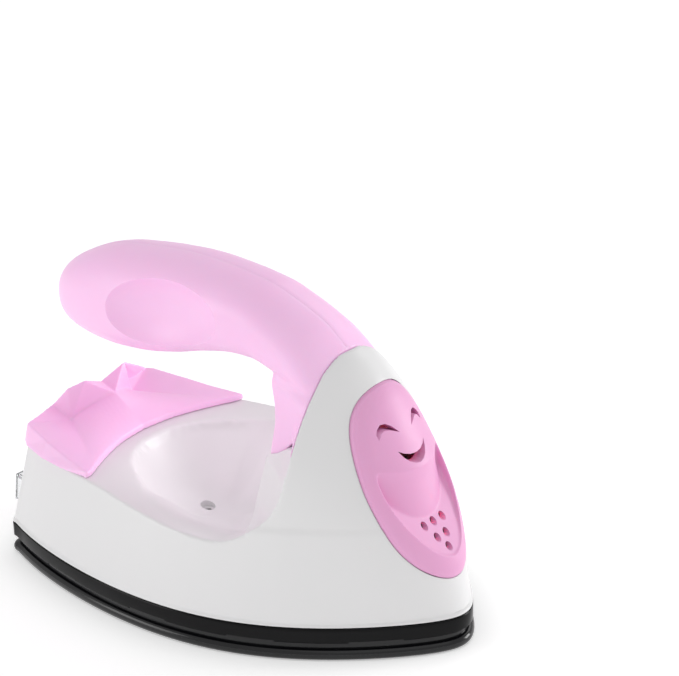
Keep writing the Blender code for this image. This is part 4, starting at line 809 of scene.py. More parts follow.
@dataclass
class Sole:
    """The coated soleplate and the glossy stepped band above it."""

    maker: Maker
    outline: SoleOutline
    thickness: float = 2.4 * MM
    edge: float = 1.15 * MM
    edge_steps: int = 16
    platform_top: float = 3.7 * MM
    platform_inset: float = 1.2 * MM
    platform_lift: float = 0.02 * MM
    posts: Rows = mm_rows(
        (2.7, 3.0, 7.2, 0.0, 15.0), (2.7, 3.0, 7.2, 12.0, 40.0), (6.2, 3.0, 4.4, 0.0, -28.0),
    )
    bores: Rows = mm_rows(
        (1.25, 1.3, 9.0, 0.0, 15.0), (1.25, 1.3, 9.0, 12.0, 40.0), (1.05, 1.3, 9.0, 0.0, -8.0),
        (1.05, 1.3, 9.0, 0.0, 29.0), (1.05, 1.3, 9.0, 9.0, -28.0),
    )
    band: Pair = mm(3.85, 7.2)
    band_inset: float = 0.2 * MM
    band_wall: float = 2.2 * MM
    web_bottom: float = 5.8 * MM
    window: float = 7.6 * MM
    beyond: float = 3.0 * MM
    lip: float = 0.35 * MM
    lip_bend: Pair = (0.4, 0.35)
    chamfer: float = 0.25 * MM
    step_length: float = 12.6 * MM
    step_height: float = 0.45 * MM
    step_depth: float = 1.0 * MM
    step_below: float = 0.5 * MM
    step_count: int = 8

    def soleplate(self) -> Solid:
        """The plate with its round edge and the platform that carries the band."""
        levels = []
        for angle in spread(0.0, math.pi, self.edge_steps):
            height = self.thickness * (1 - math.cos(angle)) / 2
            levels.append((self.edge * (1 - math.sin(angle)), height))
        levels.append((self.platform_inset, self.thickness + self.platform_lift))
        levels.append((self.platform_inset, self.platform_top))
        plate = self.outline.stack("sole_plate_skin", levels)
        combine(plate, Join.ADD, *mirrored(self.posts, upright))
        combine(plate, Join.CUT, *mirrored(self.bores, upright, BORE_SIDES))
        return self.maker.finish(crisp(plate), "coated_black", "soleplate")

    def skirt(self) -> Solid:
        """The band, with the shallow steps along its lower edge."""
        low, high = self.band
        inset, lip = self.band_inset, self.lip
        across, down = self.lip_bend
        levels = [(inset + self.chamfer, low), (inset, low + self.chamfer), (inset, high - lip)]
        levels += [(inset + lip * across, high - lip * down), (inset + lip, high)]
        band = self.outline.stack("skirt_band", levels)
        for edge, start, end in (
            (self.band_wall, low - self.beyond, self.web_bottom),
            (self.window, low, high + self.beyond),
        ):
            room = self.outline.stack("band_room", [(edge, start), (edge, end)])
            combine(band, Join.CUT, room)
        steps = [self.step(i, side) for side in (1, -1) for i in range(1, self.step_count, 2)]
        combine(band, Join.CUT, *steps)
        return self.maker.finish(crisp(band), "gloss_black", "sole_skirt")

    def step(self, index: int, side: int) -> Solid:
        """The cutter of one long shallow notch that follows the band's edge."""
        path = self.outline.half(self.band_inset)
        runs = [0.0]
        for a, b in zip(path, path[1:]):
            runs.append(runs[-1] + math.hypot(b[0] - a[0], b[1] - a[1]))
        start, end = index * self.step_length, (index + 1) * self.step_length
        inner = self.outline.half(self.band_inset + self.step_depth)
        outer = self.outline.half(self.band_inset - self.step_depth)
        picked = [i for i, run in enumerate(runs) if start <= run <= end]
        low, high = self.band[0] - self.step_below, self.band[0] + self.step_height
        rings = []
        for i in picked:
            (xi, yi), (xo, yo) = inner[i], outer[i]
            ring = [(xi, yi, low), (xo, yo, low), (xo, yo, high), (xi, yi, high)]
            rings.append([(side * x, y, z) for x, y, z in ring])
        return skin(f"band_step_{index}", rings)


@dataclass
class Shell:
    """The white shell: sides, dish, nose column and the seats for what is fitted to it."""

    maker: Maker
    hull: HullForm
    panel: "NosePanel"
    handle: "Handle"
    bottom: float = 7.35 * MM
    inset: float = 0.45 * MM
    wall: float = 2.6 * MM
    grid: float = 0.42 * MM
    passes: int = 2
    crease: float = 50.0
    bead: Rows = mm_rows((0.3, 7.0), (0.24, 7.5), (0.30, 7.65), (0.75, 8.05))
    rim: Table = Table(mm_rows(
        (62.0, 25.1), (30.0, 25.15), (22.0, 25.0), (13.0, 24.4), (4.0, 23.7), (-4.0, 23.1),
        (-9.0, 22.9), (-13.0, 23.2), (-16.0, 24.2), (-18.6, 25.9), (-21.7, 28.6), (-23.4, 32.0),
        (-24.2, 36.0), (-24.7, 41.5),
    ))
    dish_middle: float = 10.5 * MM
    dish_floor: float = 11.3 * MM
    dish_lip: float = 25.1 * MM
    dish_step: float = 1.5 * MM
    dish_bevel: float = 0.022
    dish_reach: Table = Table(
        (turn, reach * MM)
        for turn, reach in (
            (0.0, 17.9), (0.33, 17.9), (0.394, 18.8), (0.467, 21.5), (0.54, 25.5), (0.6, 28.5),
            (0.66, 31.0), (0.72, 34.0), (0.78, 33.5), (0.84, 29.0), (0.92, 23.5), (1.0, 21.5),
        )
    )
    crisp_power: float = 2.1
    soft_power: float = 1.15
    soft_turns: Pair = (0.34, 0.52)
    nose_turns: Pair = (0.7, 0.85)
    nose_fade: float = 0.6
    cutter_stops: Point = mm(60.0, -20.0, -24.7)
    cutter_half: float = 44.0 * MM
    cutter_steps: tuple[int, int, int] = (110, 24, 120)
    ceiling: float = 80.0 * MM
    dish_shares: tuple[float, ...] = (0.12, 0.34, 0.52, 0.68, 0.83, 1.0)
    floor_block: Point = mm(160.0, 160.0, 20.0)
    room_levels: tuple[float, ...] = mm(4.3, 14.0, 22.0, 30.0, 37.0, 44.0)
    roof: Rows = mm_rows(
        (62.0, 20.9), (-16.0, 20.9), (-27.5, 28.0), (-31.8, 30.5), (-31.8, 75.0), (62.0, 75.0),
    )
    roof_half: float = 60.0 * MM
    drop_turns: Pair = (0.36, 0.58)
    dish_side_wall: float = 1.5 * MM
    dish_wall: float = 1.9 * MM
    dish_head: float = 40.0 * MM
    dish_sides: int = 48
    head_spread: float = 1.1
    posts: Rows = mm_rows((3.6, 7.35, 11.0, 0.0, 15.0), (3.8, 7.35, 22.0, 12.0, 40.0))
    board_posts: Rows = mm_rows((1.9, 31.0, 34.05, 5.0, 34.0))
    holes: Rows = mm_rows(
        (1.25, 4.0, 10.2, 0.0, 15.0), (1.95, 9.2, 10.7, 0.0, 15.0), (0.8, 9.2, 30.0, 0.0, 15.0),
        (1.55, 10.95, 30.0, 0.0, 15.0), (2.2, 14.0, 30.0, 12.0, 40.0),
        (1.25, 4.0, 15.0, 12.0, 40.0), (1.65, 18.0, 26.4, 5.0, 46.5),
    )
    front_holes: Rows = mm_rows(
        (1.05, 30.9, 36.0, 5.0, 34.0), (2.3, 31.5, 34.5, 4.0, 44.2), (1.25, 28.5, 33.0, 4.0, 44.2),
    )
    foot_holes: Rows = mm_rows((1.35, -6.0, 3.0, 14.0, 11.6))
    port_size: Point = mm(11.0, 12.0, 5.0)
    port_place: Point = mm(0.0, 52.5, 12.4)
    pocket_size: Point = mm(13.3, 7.3, 7.3)
    saddle_front: float = -29.0 * MM
    saddle_lip: float = 0.7 * MM
    saddle_bow: float = 0.7 * MM
    saddle_steps: int = 44
    bow_steps: int = 6
    saddle_rows: Rows = mm_rows(
        (13.5, 12.4, -8.6, -12.5), (19.0, 12.3, -8.9, -14.5), (24.0, 12.0, -9.2, -17.0),
        (28.6, 11.2, -9.9, -21.7), (32.0, 10.4, -10.5, -23.4), (34.25, 10.2, -10.9, -24.0),
        (36.0, 10.9, -14.3, -24.2), (38.6, 12.4, -18.5, -24.5), (40.45, 17.0, -23.6, -24.6),
    )

    def top(self, x: float, y: float) -> float:
        """Height of the shell's upper surface."""
        rim = self.rim(y)
        dy = y - self.dish_middle
        turn = abs(math.atan2(x, dy)) / math.pi
        share = math.hypot(x, dy) / self.dish_reach(turn)
        if share >= 1.0 + self.dish_bevel:
            return rim
        edge = min(rim, self.dish_lip)
        fade = 1.0 - self.nose_fade * eased(between(turn, *self.nose_turns))
        soft = eased(between(turn, *self.soft_turns)) * fade
        lip = edge - self.dish_step * (1.0 - soft)
        if share > 1.0:
            return lerp(lip, edge, (share - 1.0) / self.dish_bevel)
        rise = lerp(share**self.crisp_power, eased(share**self.soft_power), soft)
        return min(lerp(self.dish_floor, lip, rise), rim)

    def top_cutter(self) -> Solid:
        """Everything above the shell's upper surface, behind the arch plane."""
        rear, bend, front = self.cutter_stops
        half = self.cutter_half
        behind, ahead, across = self.cutter_steps
        rings = []
        for y in spread(rear, bend, behind) + spread(bend, front, ahead)[1:]:
            ring = [(x, y, self.top(x, y)) for x in spread(-half, half, across)]
            rings.append(ring + [(half, y, self.ceiling), (-half, y, self.ceiling)])
        return skin("above_top", rings)

    def saddle(self) -> Solid:
        """Rear face of the nose column, from the ears inwards to the stem."""
        lines = columns(self.saddle_rows)
        rings = []
        for z in spread(self.saddle_rows[0][0], self.saddle_rows[-1][0], self.saddle_steps):
            corner_x, corner_y, ear_y = (line(z) for line in lines)
            half = [(0.0, self.saddle_front, z)]
            for y in (self.saddle_front, self.hull.arch_y, ear_y):
                half.append((self.hull.outer(y, z) - self.inset - self.saddle_lip, y, z))
            ear_x = half[-1][0]
            for share in spread(0.0, 1.0, self.bow_steps)[1:-1]:
                bow = self.saddle_bow * math.sin(math.pi * share)
                x, y = lerp(ear_x, corner_x, share), lerp(ear_y, corner_y, share)
                half.append((x, y - bow, z))
            half += [(corner_x, corner_y, z), (0.0, corner_y, z)]
            rings.append(both_sides(half))
        return skin("saddle", rings)

    def body(self) -> Solid:
        """The whole shell, hollow, with its seats and holes."""
        shell = self.hull.solid("shell_body", self.inset, self.bottom)
        combine(shell, Join.CUT, self.top_cutter())
        combine(shell, Join.ADD, self.saddle())
        melt(shell, self.grid, self.passes)
        combine(shell, Join.ADD, self.hull.sole.stack("bead", self.bead))
        combine(shell, Join.CUT, self.panel.seat())
        middle = self.bottom - self.floor_block[2] / 2
        plane = block("floor_plane", self.floor_block, (0.0, 0.0, middle))
        combine(shell, Join.CUT, plane)
        combine(shell, Join.CUT, self.handle.stem("stem_room", self.handle.gap))
        combine(shell, Join.CUT, self.hollow())
        posts = mirrored(self.posts, upright) + mirrored(self.board_posts, facing_front)
        combine(shell, Join.ADD, *posts)
        combine(shell, Join.CUT, *self.bores())
        return self.maker.finish(crisp(shell, self.crease), "shell_white", "body_shell")

    def hollow(self) -> Solid:
        """The room inside the shell, below the dish and the column."""
        room = skin("room", [self.hull.ring(z, self.inset + self.wall) for z in self.room_levels])
        rings = [[(x, y, z) for y, z in self.roof] for x in (-self.roof_half, self.roof_half)]
        combine(room, Join.CUT, skin("roof", rings))
        below = [[] for _ in self.dish_shares]
        for angle in spread(0.0, 2 * math.pi, self.dish_sides)[:-1]:
            turn = abs(math.atan2(math.sin(angle), math.cos(angle))) / math.pi
            for ring, share in zip(below, self.dish_shares):
                reach = self.dish_reach(turn) * share + self.dish_side_wall
                x, y = reach * math.sin(angle), self.dish_middle + reach * math.cos(angle)
                drop = self.dish_step * (1.0 - between(turn, *self.drop_turns))
                lip = min(self.rim(y), self.dish_lip) - drop
                height = lerp(self.dish_floor, lip, share**self.crisp_power) - self.dish_wall
                ring.append((x, y, height))
        below.append([(x * self.head_spread, y, self.dish_head) for x, y, _ in below[-1]])
        return combine(room, Join.CUT, skin("under_dish", below))

    def bores(self) -> list[Solid]:
        """Cutters for every hole in the shell."""
        made = mirrored(self.holes, upright) + mirrored(self.front_holes, facing_front)
        made += mirrored(self.foot_holes, self.hull.heel_frame)
        made.append(block("port", self.port_size, self.port_place))
        made.append(block("tenon_pocket", self.pocket_size, self.handle.tenon_place))
        return made


@dataclass
class NosePanel:
    """The oval pink plate on the nose, with its slots, scoop, tongue and vents."""

    maker: Maker
    hull: HullForm
    inset: float = 0.45 * MM
    sunk: float = 0.15 * MM
    bulge: float = 0.95 * MM
    border: float = 3.1 * MM
    depth: float = 1.3 * MM
    middle: float = 34.0 * MM
    outline_rows: Rows = mm_rows(
        (14.6, 0.0), (14.9, 2.2), (15.7, 4.2), (16.5, 5.5), (18.0, 7.0), (19.7, 8.4), (21.7, 9.6),
        (24.3, 10.5), (27.5, 11.2), (30.8, 11.7), (33.7, 11.8), (36.8, 11.6), (40.0, 11.1),
        (42.7, 10.5), (45.3, 9.7), (47.6, 8.5), (49.2, 7.2), (50.5, 5.4), (51.4, 3.1), (51.7, 0.0),
    )
    opening_rows: Rows = mm_rows(
        (18.6, 0.0), (19.2, 3.0), (21.9, 5.8), (24.7, 7.9), (28.0, 9.6), (31.4, 10.6), (35.0, 10.8),
        (39.0, 10.3), (43.0, 9.4), (46.4, 7.6), (46.4, 0.0),
    )
    scoop_edge: Table = Table(mm_rows(
        (19.4, 0.3), (20.0, 2.3), (21.9, 4.7), (24.7, 6.8), (28.0, 8.5), (31.4, 9.5), (34.6, 9.8),
        (37.6, 9.5), (39.6, 9.0),
    ))
    tongue: Table = Table(mm_rows(
        (19.4, -40.0), (25.8, -43.8), (28.0, -43.6), (31.0, -43.0), (34.6, -42.3), (37.0, -42.3),
        (38.4, -43.4), (39.6, -44.6),
    ))
    tongue_bend: float = 22.0 * MM
    shelf: Pair = (-48.9 * MM, 20.3 * MM)
    shelf_slope: float = 0.85
    eye: Rows = mm_rows(
        (6.7, 43.0), (6.75, 44.0), (6.2, 44.9), (5.3, 45.6), (4.2, 45.6), (3.1, 44.9), (1.9, 43.5),
        (3.1, 44.0), (4.1, 44.35), (5.0, 44.4), (5.8, 44.0), (6.3, 43.3),
    )
    mouth: Rows = mm_rows(
        (4.1, 40.4), (3.4, 39.1), (2.4, 38.1), (1.2, 37.5), (0.0, 37.3), (-1.2, 37.5), (-2.4, 38.1),
        (-3.4, 39.1), (-4.1, 40.4), (-3.0, 39.75), (-1.6, 39.3), (0.0, 39.15), (1.6, 39.3),
        (3.0, 39.75),
    )
    vents: Rows = mm_rows(
        (-2.9, 25.3), (0.0, 25.3), (2.9, 25.3), (-1.45, 22.9), (1.45, 22.9), (0.0, 20.9),
    )
    vent_radius: float = 0.8 * MM
    vent_length: float = 26.0 * MM
    vent_place: float = -46.0 * MM
    gap: float = 0.15 * MM
    span: Pair = mm(-60.0, -18.0)
    slot_span: Pair = mm(-60.0, -34.0)
    opening_span: Pair = mm(-60.0, -32.9)
    scoop_front: float = -63.0 * MM
    scoop_grow: float = 0.9 * MM
    scoop_wall: float = 1.4 * MM
    trim: float = 0.3 * MM
    layers: int = 7
    oval_steps: int = 180
    oval_passes: int = 60
    grid: float = 0.19 * MM
    passes: int = 9
    crease: float = 55.0
    scoop_rows: int = 60
    scoop_columns: int = 40

    def oval(self, rows: Sequence[Sequence[float]], grow: float) -> list[Pair]:
        """A smooth closed outline through rows of height and half width."""
        points = [(x, z - self.middle) for z, x in rows]
        full = points + [(-x, z) for x, z in reversed(points) if x > 0.0]
        polar = sorted((math.atan2(z, x), math.hypot(x, z)) for x, z in full)
        round_trip = 2 * math.pi
        before = [(a - round_trip, r) for a, r in polar[-3:]]
        radius = Table(before + polar + [(a + round_trip, r) for a, r in polar[:3]])
        steps = self.oval_steps
        angles = [-math.pi + round_trip * (i + 0.5) / steps for i in range(steps)]
        reaches = [radius(angle) for angle in angles]
        for _ in range(self.oval_passes):
            after = reaches[1:] + reaches[:1]
            reaches = [(reaches[i - 1] + 2 * reaches[i] + after[i]) / 4 for i in range(steps)]
        return [
            ((reach + grow) * math.cos(angle), self.middle + (reach + grow) * math.sin(angle))
            for angle, reach in zip(angles, reaches)
        ]

    def floor(self, x: float, z: float) -> float:
        """Depth of the scooped face: the tongue above and the sloping vent shelf below."""
        tongue = self.tongue(z) + x * x / self.tongue_bend
        shelf = self.shelf[0] + self.shelf_slope * (z - self.shelf[1])
        return min(tongue, shelf)

    def scoop(self, name: str, front: float, grow: float, back: float) -> Solid:
        """Everything in front of the scooped face, inside its edge."""
        rings = []
        for z in spread(self.scoop_edge.xs[0], self.scoop_edge.xs[-1], self.scoop_rows):
            half = self.scoop_edge(z) + grow
            across = spread(-half, half, self.scoop_columns)
            rear = [(x, self.floor(x, z) + back, z) for x in across]
            rings.append([(half, front, z), (-half, front, z)] + rear)
        return skin(name, rings)

    def seat(self) -> Solid:
        """The panel's recess in the shell, with the opening behind it."""
        seat = prism("panel_seat", self.oval(self.outline_rows, self.gap), *self.span)
        floor = self.hull.solid("seat_floor", self.inset + self.depth + self.gap)
        combine(seat, Join.CUT, floor)
        opening = [(x, z) for z, x in self.opening_rows]
        opening += [(-x, z) for x, z in reversed(opening) if x > 0.0]
        return combine(seat, Join.ADD, prism("opening", opening, *self.opening_span))

    def cushion(self, share: float) -> Solid:
        """One layer of the outside, from the whole oval (0) to the top of its round border (1)."""
        outline = self.oval(self.outline_rows, self.trim - self.border * share)
        rise = math.sqrt(1.0 - (1.0 - share) ** 2)
        outside = self.hull.solid("outside", self.inset + self.sunk - self.bulge * rise)
        return combine(prism("face_panel", outline, *self.span), Join.KEEP, outside)

    def vent_cutters(self) -> Solid:
        """The vents' cutters: one round bar repeated on the vents' places."""
        mesh = bpy.data.meshes.new("vents")
        mesh.from_pydata([(x, self.vent_place, z) for x, z in self.vents], [], [])
        look = self.maker.finishes["panel_pink"]
        return repeat_bars(linked("vents", mesh), self.vent_radius, self.vent_length, look)

    def plate(self) -> Solid:
        """The panel, moulded soft at every edge."""
        panel, *layers = [self.cushion(share) for share in spread(0.0, 1.0, self.layers)]
        combine(panel, Join.ADD, *layers)
        inside = self.hull.solid("inside", self.inset + self.depth)
        bump = self.scoop("bump", self.span[0], self.scoop_grow, self.scoop_wall)
        combine(panel, Join.CUT, combine(inside, Join.CUT, bump))
        combine(panel, Join.CUT, self.scoop("hollow_face", self.scoop_front, 0.0, 0.0))
        melt(panel, self.grid, self.passes)
        for side in (1, -1):
            outline = [(side * x, z) for x, z in self.eye]
            combine(panel, Join.CUT, prism("eye", outline, *self.slot_span))
        combine(panel, Join.CUT, prism("mouth", self.mouth, *self.slot_span))
        combine(panel, Join.KEEP, prism("edge", self.oval(self.outline_rows, 0.0), *self.span))
        combine(panel, Join.CUT, self.vent_cutters())
        return self.maker.finish(crisp(panel, self.crease), "panel_pink", "nose_panel")


def repeat_bars(obj: Solid, radius: float, depth: float, look: bpy.types.Material) -> Solid:
    """Puts a bar along Y on every point of a mesh, by Geometry Nodes.

    Args:
        obj: a mesh of loose points.
        radius: the bar's radius.
        depth: the bar's length.
        look: the material set at the end of the tree.

    Returns:
        The same object, as plain mesh.
    """
    tree = bpy.data.node_groups.new("bars_on_points", "GeometryNodeTree")
    sockets = {}
    tree.interface.new_socket("Geometry", in_out="INPUT", socket_type="NodeSocketGeometry")
    for name, value in (("Bar radius", radius), ("Bar length", depth)):
        made = tree.interface.new_socket(name, in_out="INPUT", socket_type="NodeSocketFloat")
        made.default_value = value
        sockets[made.identifier] = value
    tree.interface.new_socket("Geometry", in_out="OUTPUT", socket_type="NodeSocketGeometry")
    source = tree.nodes.new("NodeGroupInput")
    sink = tree.nodes.new("NodeGroupOutput")
    points = tree.nodes.new("GeometryNodeMeshToPoints")
    bar = tree.nodes.new("GeometryNodeMeshCylinder")
    bar.inputs["Vertices"].default_value = 32
    place = tree.nodes.new("GeometryNodeInstanceOnPoints")
    place.inputs["Rotation"].default_value = (math.pi / 2, 0.0, 0.0)
    real = tree.nodes.new("GeometryNodeRealizeInstances")
    dress = tree.nodes.new("GeometryNodeSetMaterial")
    dress.inputs["Material"].default_value = look
    for a, b in (
        (source.outputs[0], points.inputs["Mesh"]),
        (source.outputs["Bar radius"], bar.inputs["Radius"]),
        (source.outputs["Bar length"], bar.inputs["Depth"]),
        (points.outputs[0], place.inputs["Points"]),
        (bar.outputs["Mesh"], place.inputs["Instance"]),
        (place.outputs[0], real.inputs[0]),
        (real.outputs[0], dress.inputs["Geometry"]),
        (dress.outputs[0], sink.inputs[0]),
    ):
        tree.links.new(a, b)
    modifier = obj.modifiers.new("bars", "NODES")
    modifier.node_group = tree
    for identifier, value in sockets.items():
        modifier[identifier] = value
    return settle(obj)


@dataclass
class Handle:
    """The pink handle, parted down its middle, with a scallop on each side."""

    maker: Maker
    hull: HullForm
    gap: float = 0.15 * MM
    grid: float = 0.34 * MM
    passes: int = 4
    crease: float = 16.0
    sections: Rows = mm_rows(
        (51.6, 55.0, 1.3, 1.2), (51.0, 55.0, 3.2, 3.0), (49.6, 55.1, 5.4, 5.3),
        (47.2, 55.3, 7.3, 7.3), (43.2, 55.8, 8.9, 9.0), (38.0, 56.4, 10.1, 10.4),
        (31.5, 57.0, 10.9, 11.2), (25.0, 57.6, 11.3, 11.3), (17.0, 58.6, 11.4, 10.8),
        (9.0, 59.6, 10.9, 9.7), (2.0, 59.9, 10.4, 8.7), (-5.0, 59.4, 10.3, 8.0),
        (-11.0, 57.6, 10.5, 7.8), (-16.0, 55.3, 10.8, 8.0), (-20.5, 52.3, 11.3, 8.5),
        (-24.55, 49.0, 11.6, 8.2),
    )
    scallop_centre: Point = (17.4 * MM, 15.2 * MM, 58.7 * MM)
    scallop_radii: Point = (11.3 * MM, 18.6 * MM, 11.3 * MM)
    scallop_tilt: float = math.radians(-8.0)
    parting_depth: float = 0.16 * MM
    parting_size: Point = mm(0.5, 84.0, 60.0)
    parting_place: Point = mm(0.0, 14.0, 56.0)
    joint_gap: float = 0.03 * MM
    section_stops: tuple[float, ...] = mm(51.6, 51.4, 51.0, 50.4, 49.6, 48.4)
    section_pitch: float = 1.3 * MM
    section_sides: int = 72
    least_radius: float = 0.1 * MM
    squareness: Pair = (1.8, 2.25)
    square_zone: Pair = mm(-24.0, -4.0)
    arch_inset: float = 0.65 * MM
    stem_corner: float = 2.0 * MM
    stem_bow: float = 0.3 * MM
    stem_flare: float = 0.3
    stem_steps: int = 30
    corner_steps: int = 4
    collar_back: float = -13.4 * MM
    collar_heights: Pair = mm(40.6, 56.2)
    collar_neck: float = 9.0 * MM
    collar_lift: float = 4.2 * MM
    collar_crown: Pair = mm(3.0, 0.6)
    collar_power: float = 1.9
    collar_taper: float = 0.85
    collar_rows: int = 20
    collar_steps: int = 14
    tenon_size: Point = mm(13.0, 7.0, 7.0)
    tenon_place: Point = mm(0.0, -26.05, 44.4)
    arch_block: Point = mm(80.0, 20.0, 80.0)
    arch_height: float = 50.0 * MM
    threads: Rows = mm_rows((1.25, 26.2, 31.5, 4.0, 44.2))
    joint_places: Rows = mm_rows((44.0, 55.5), (-7.0, 58.0))
    joint_well: Point = mm(1.95, 5.5, 35.5)
    joint_bore: Point = mm(1.25, -5.0, 7.0)
    half_size: Point = mm(40.0, 120.0, 60.0)
    half_place: Pair = mm(10.0, 56.0)
    stem_rows: Rows = mm_rows(
        (34.4, 9.9, -10.8, -14.2), (37.0, 10.0, -11.4, -16.4), (40.0, 10.4, -12.4, -19.6),
        (43.0, 10.8, -13.2, -23.2), (46.0, 11.0, -13.4, -24.4), (51.0, 10.6, -12.6, -24.4),
        (55.5, 8.6, -13.0, -22.0),
    )

    def stem(self, name: str, grow: float) -> Solid:
        """The stem, or with growth the room that it needs in the shell."""
        lines = columns(self.stem_rows)
        corner = self.stem_corner
        rings = []
        for z in spread(self.stem_rows[0][0], self.stem_rows[-1][0], self.stem_steps):
            half, rear, front = (line(z) for line in lines)
            half, rear = half + grow, rear + grow
            widest = self.hull.arch(z) - self.arch_inset + grow
            flare = min(half + (rear - front - corner) * self.stem_flare, widest)
            ring = [(0.0, rear + self.stem_bow)]
            for turn in spread(0.0, math.pi / 2, self.corner_steps):
                x, y = math.sin(turn) - 1.0, math.cos(turn) - 1.0
                ring.append((half + corner * x, rear + corner * y))
            ring += [(flare, front), (0.0, front)]
            level = z if rings else z - grow
            rings.append(both_sides([(x, y, level) for x, y in ring]))
        return skin(name, rings)

    def grip(self, grow: float = 0.0) -> Solid:
        """The banana-shaped grip, or with negative growth its core."""
        lines = columns(self.sections)
        places = list(self.section_stops)
        y = self.sections[len(places) // 2][0]
        while y > self.sections[-1][0]:
            places.append(y)
            y -= self.section_pitch
        places.append(self.sections[-1][0])
        rings = []
        for y in places:
            centre, half, rise = (line(y) for line in lines)
            half, rise = (max(size + grow, self.least_radius) for size in (half, rise))
            power = 2.0 / lerp(*self.squareness, between(y, *self.square_zone))
            ring = []
            for i in range(self.section_sides):
                angle = 2 * math.pi * (i + 0.5) / self.section_sides
                c, s = math.cos(angle), math.sin(angle)
                x = half * math.copysign(abs(c) ** power, c)
                ring.append((x, y, centre + rise * math.copysign(abs(s) ** power, s)))
            rings.append(ring)
        return skin("grip", rings)

    def parting(self) -> Solid:
        """A shallow groove where the two halves meet, all round the grip."""
        band = block("parting", self.parting_size, self.parting_place)
        return combine(band, Join.CUT, self.grip(-self.parting_depth))

    def collar(self) -> Solid:
        """The spread from the stem out to the shell's arch."""
        low, high = self.collar_heights
        levels = spread(low, high, self.collar_rows)
        front = self.hull.arch_y + self.gap
        rings = []
        for share in spread(0.0, 1.0, self.collar_steps):
            wide = share**self.collar_power
            y = lerp(self.collar_back, front, share)
            half = []
            for z in levels:
                up = between(z, low, high)
                neck = self.collar_neck * math.sqrt(1.0 - (up * self.collar_taper) ** 2)
                x = lerp(neck, self.hull.arch(z) - self.arch_inset, wide)
                half.append((x, y, z + self.collar_lift * up * (1.0 - share)))
            rise, least = self.collar_crown
            top = half[-1][2] + rise * (1.0 - wide) + least
            rings.append(both_sides([(0.0, y, low)] + half + [(0.0, y, top)]))
        return skin("collar", rings)

    def cutters(self) -> list[Solid]:
        """Cutters for the screws that hold the stem and join the halves."""
        made = mirrored(self.threads, facing_front, BORE_SIDES)
        for y, z in self.joint_places:
            made.append(rod(*self.joint_well, facing_side(y, z)))
            made.append(rod(*self.joint_bore, facing_side(y, z), BORE_SIDES))
        return made

    def halves(self) -> list[Solid]:
        """The two halves, each with its scallop."""
        whole = self.grip()
        combine(whole, Join.ADD, self.stem("stem", 0.0))
        combine(whole, Join.ADD, self.collar())
        combine(whole, Join.CUT, self.parting())
        melt(whole, self.grid, self.passes)
        for side in (1, -1):
            x, y, z = self.scallop_centre
            place = Matrix.Translation((side * x, y, z))
            place @= Matrix.Rotation(self.scallop_tilt, 4, "X")
            combine(whole, Join.CUT, ball("scallop", self.scallop_radii, place))
        face = self.hull.arch_y + self.gap - self.arch_block[1] / 2
        plane = block("arch_plane", self.arch_block, (0.0, face, self.arch_height))
        combine(whole, Join.CUT, plane)
        combine(whole, Join.ADD, block("tenon", self.tenon_size, self.tenon_place))
        combine(whole, Join.CUT, *self.cutters())
        made = []
        for side, name in ((1, "right"), (-1, "left")):
            half = linked(f"grip_{name}", whole.data.copy())
            centre = (side * (self.half_size[0] + self.joint_gap) / 2, *self.half_place)
            combine(half, Join.KEEP, block("side", self.half_size, centre))
            half = crisp(half, self.crease)
            made.append(self.maker.finish(half, "handle_pink", f"handle_{name}"))
        bpy.data.objects.remove(whole, do_unlink=True)
        return made


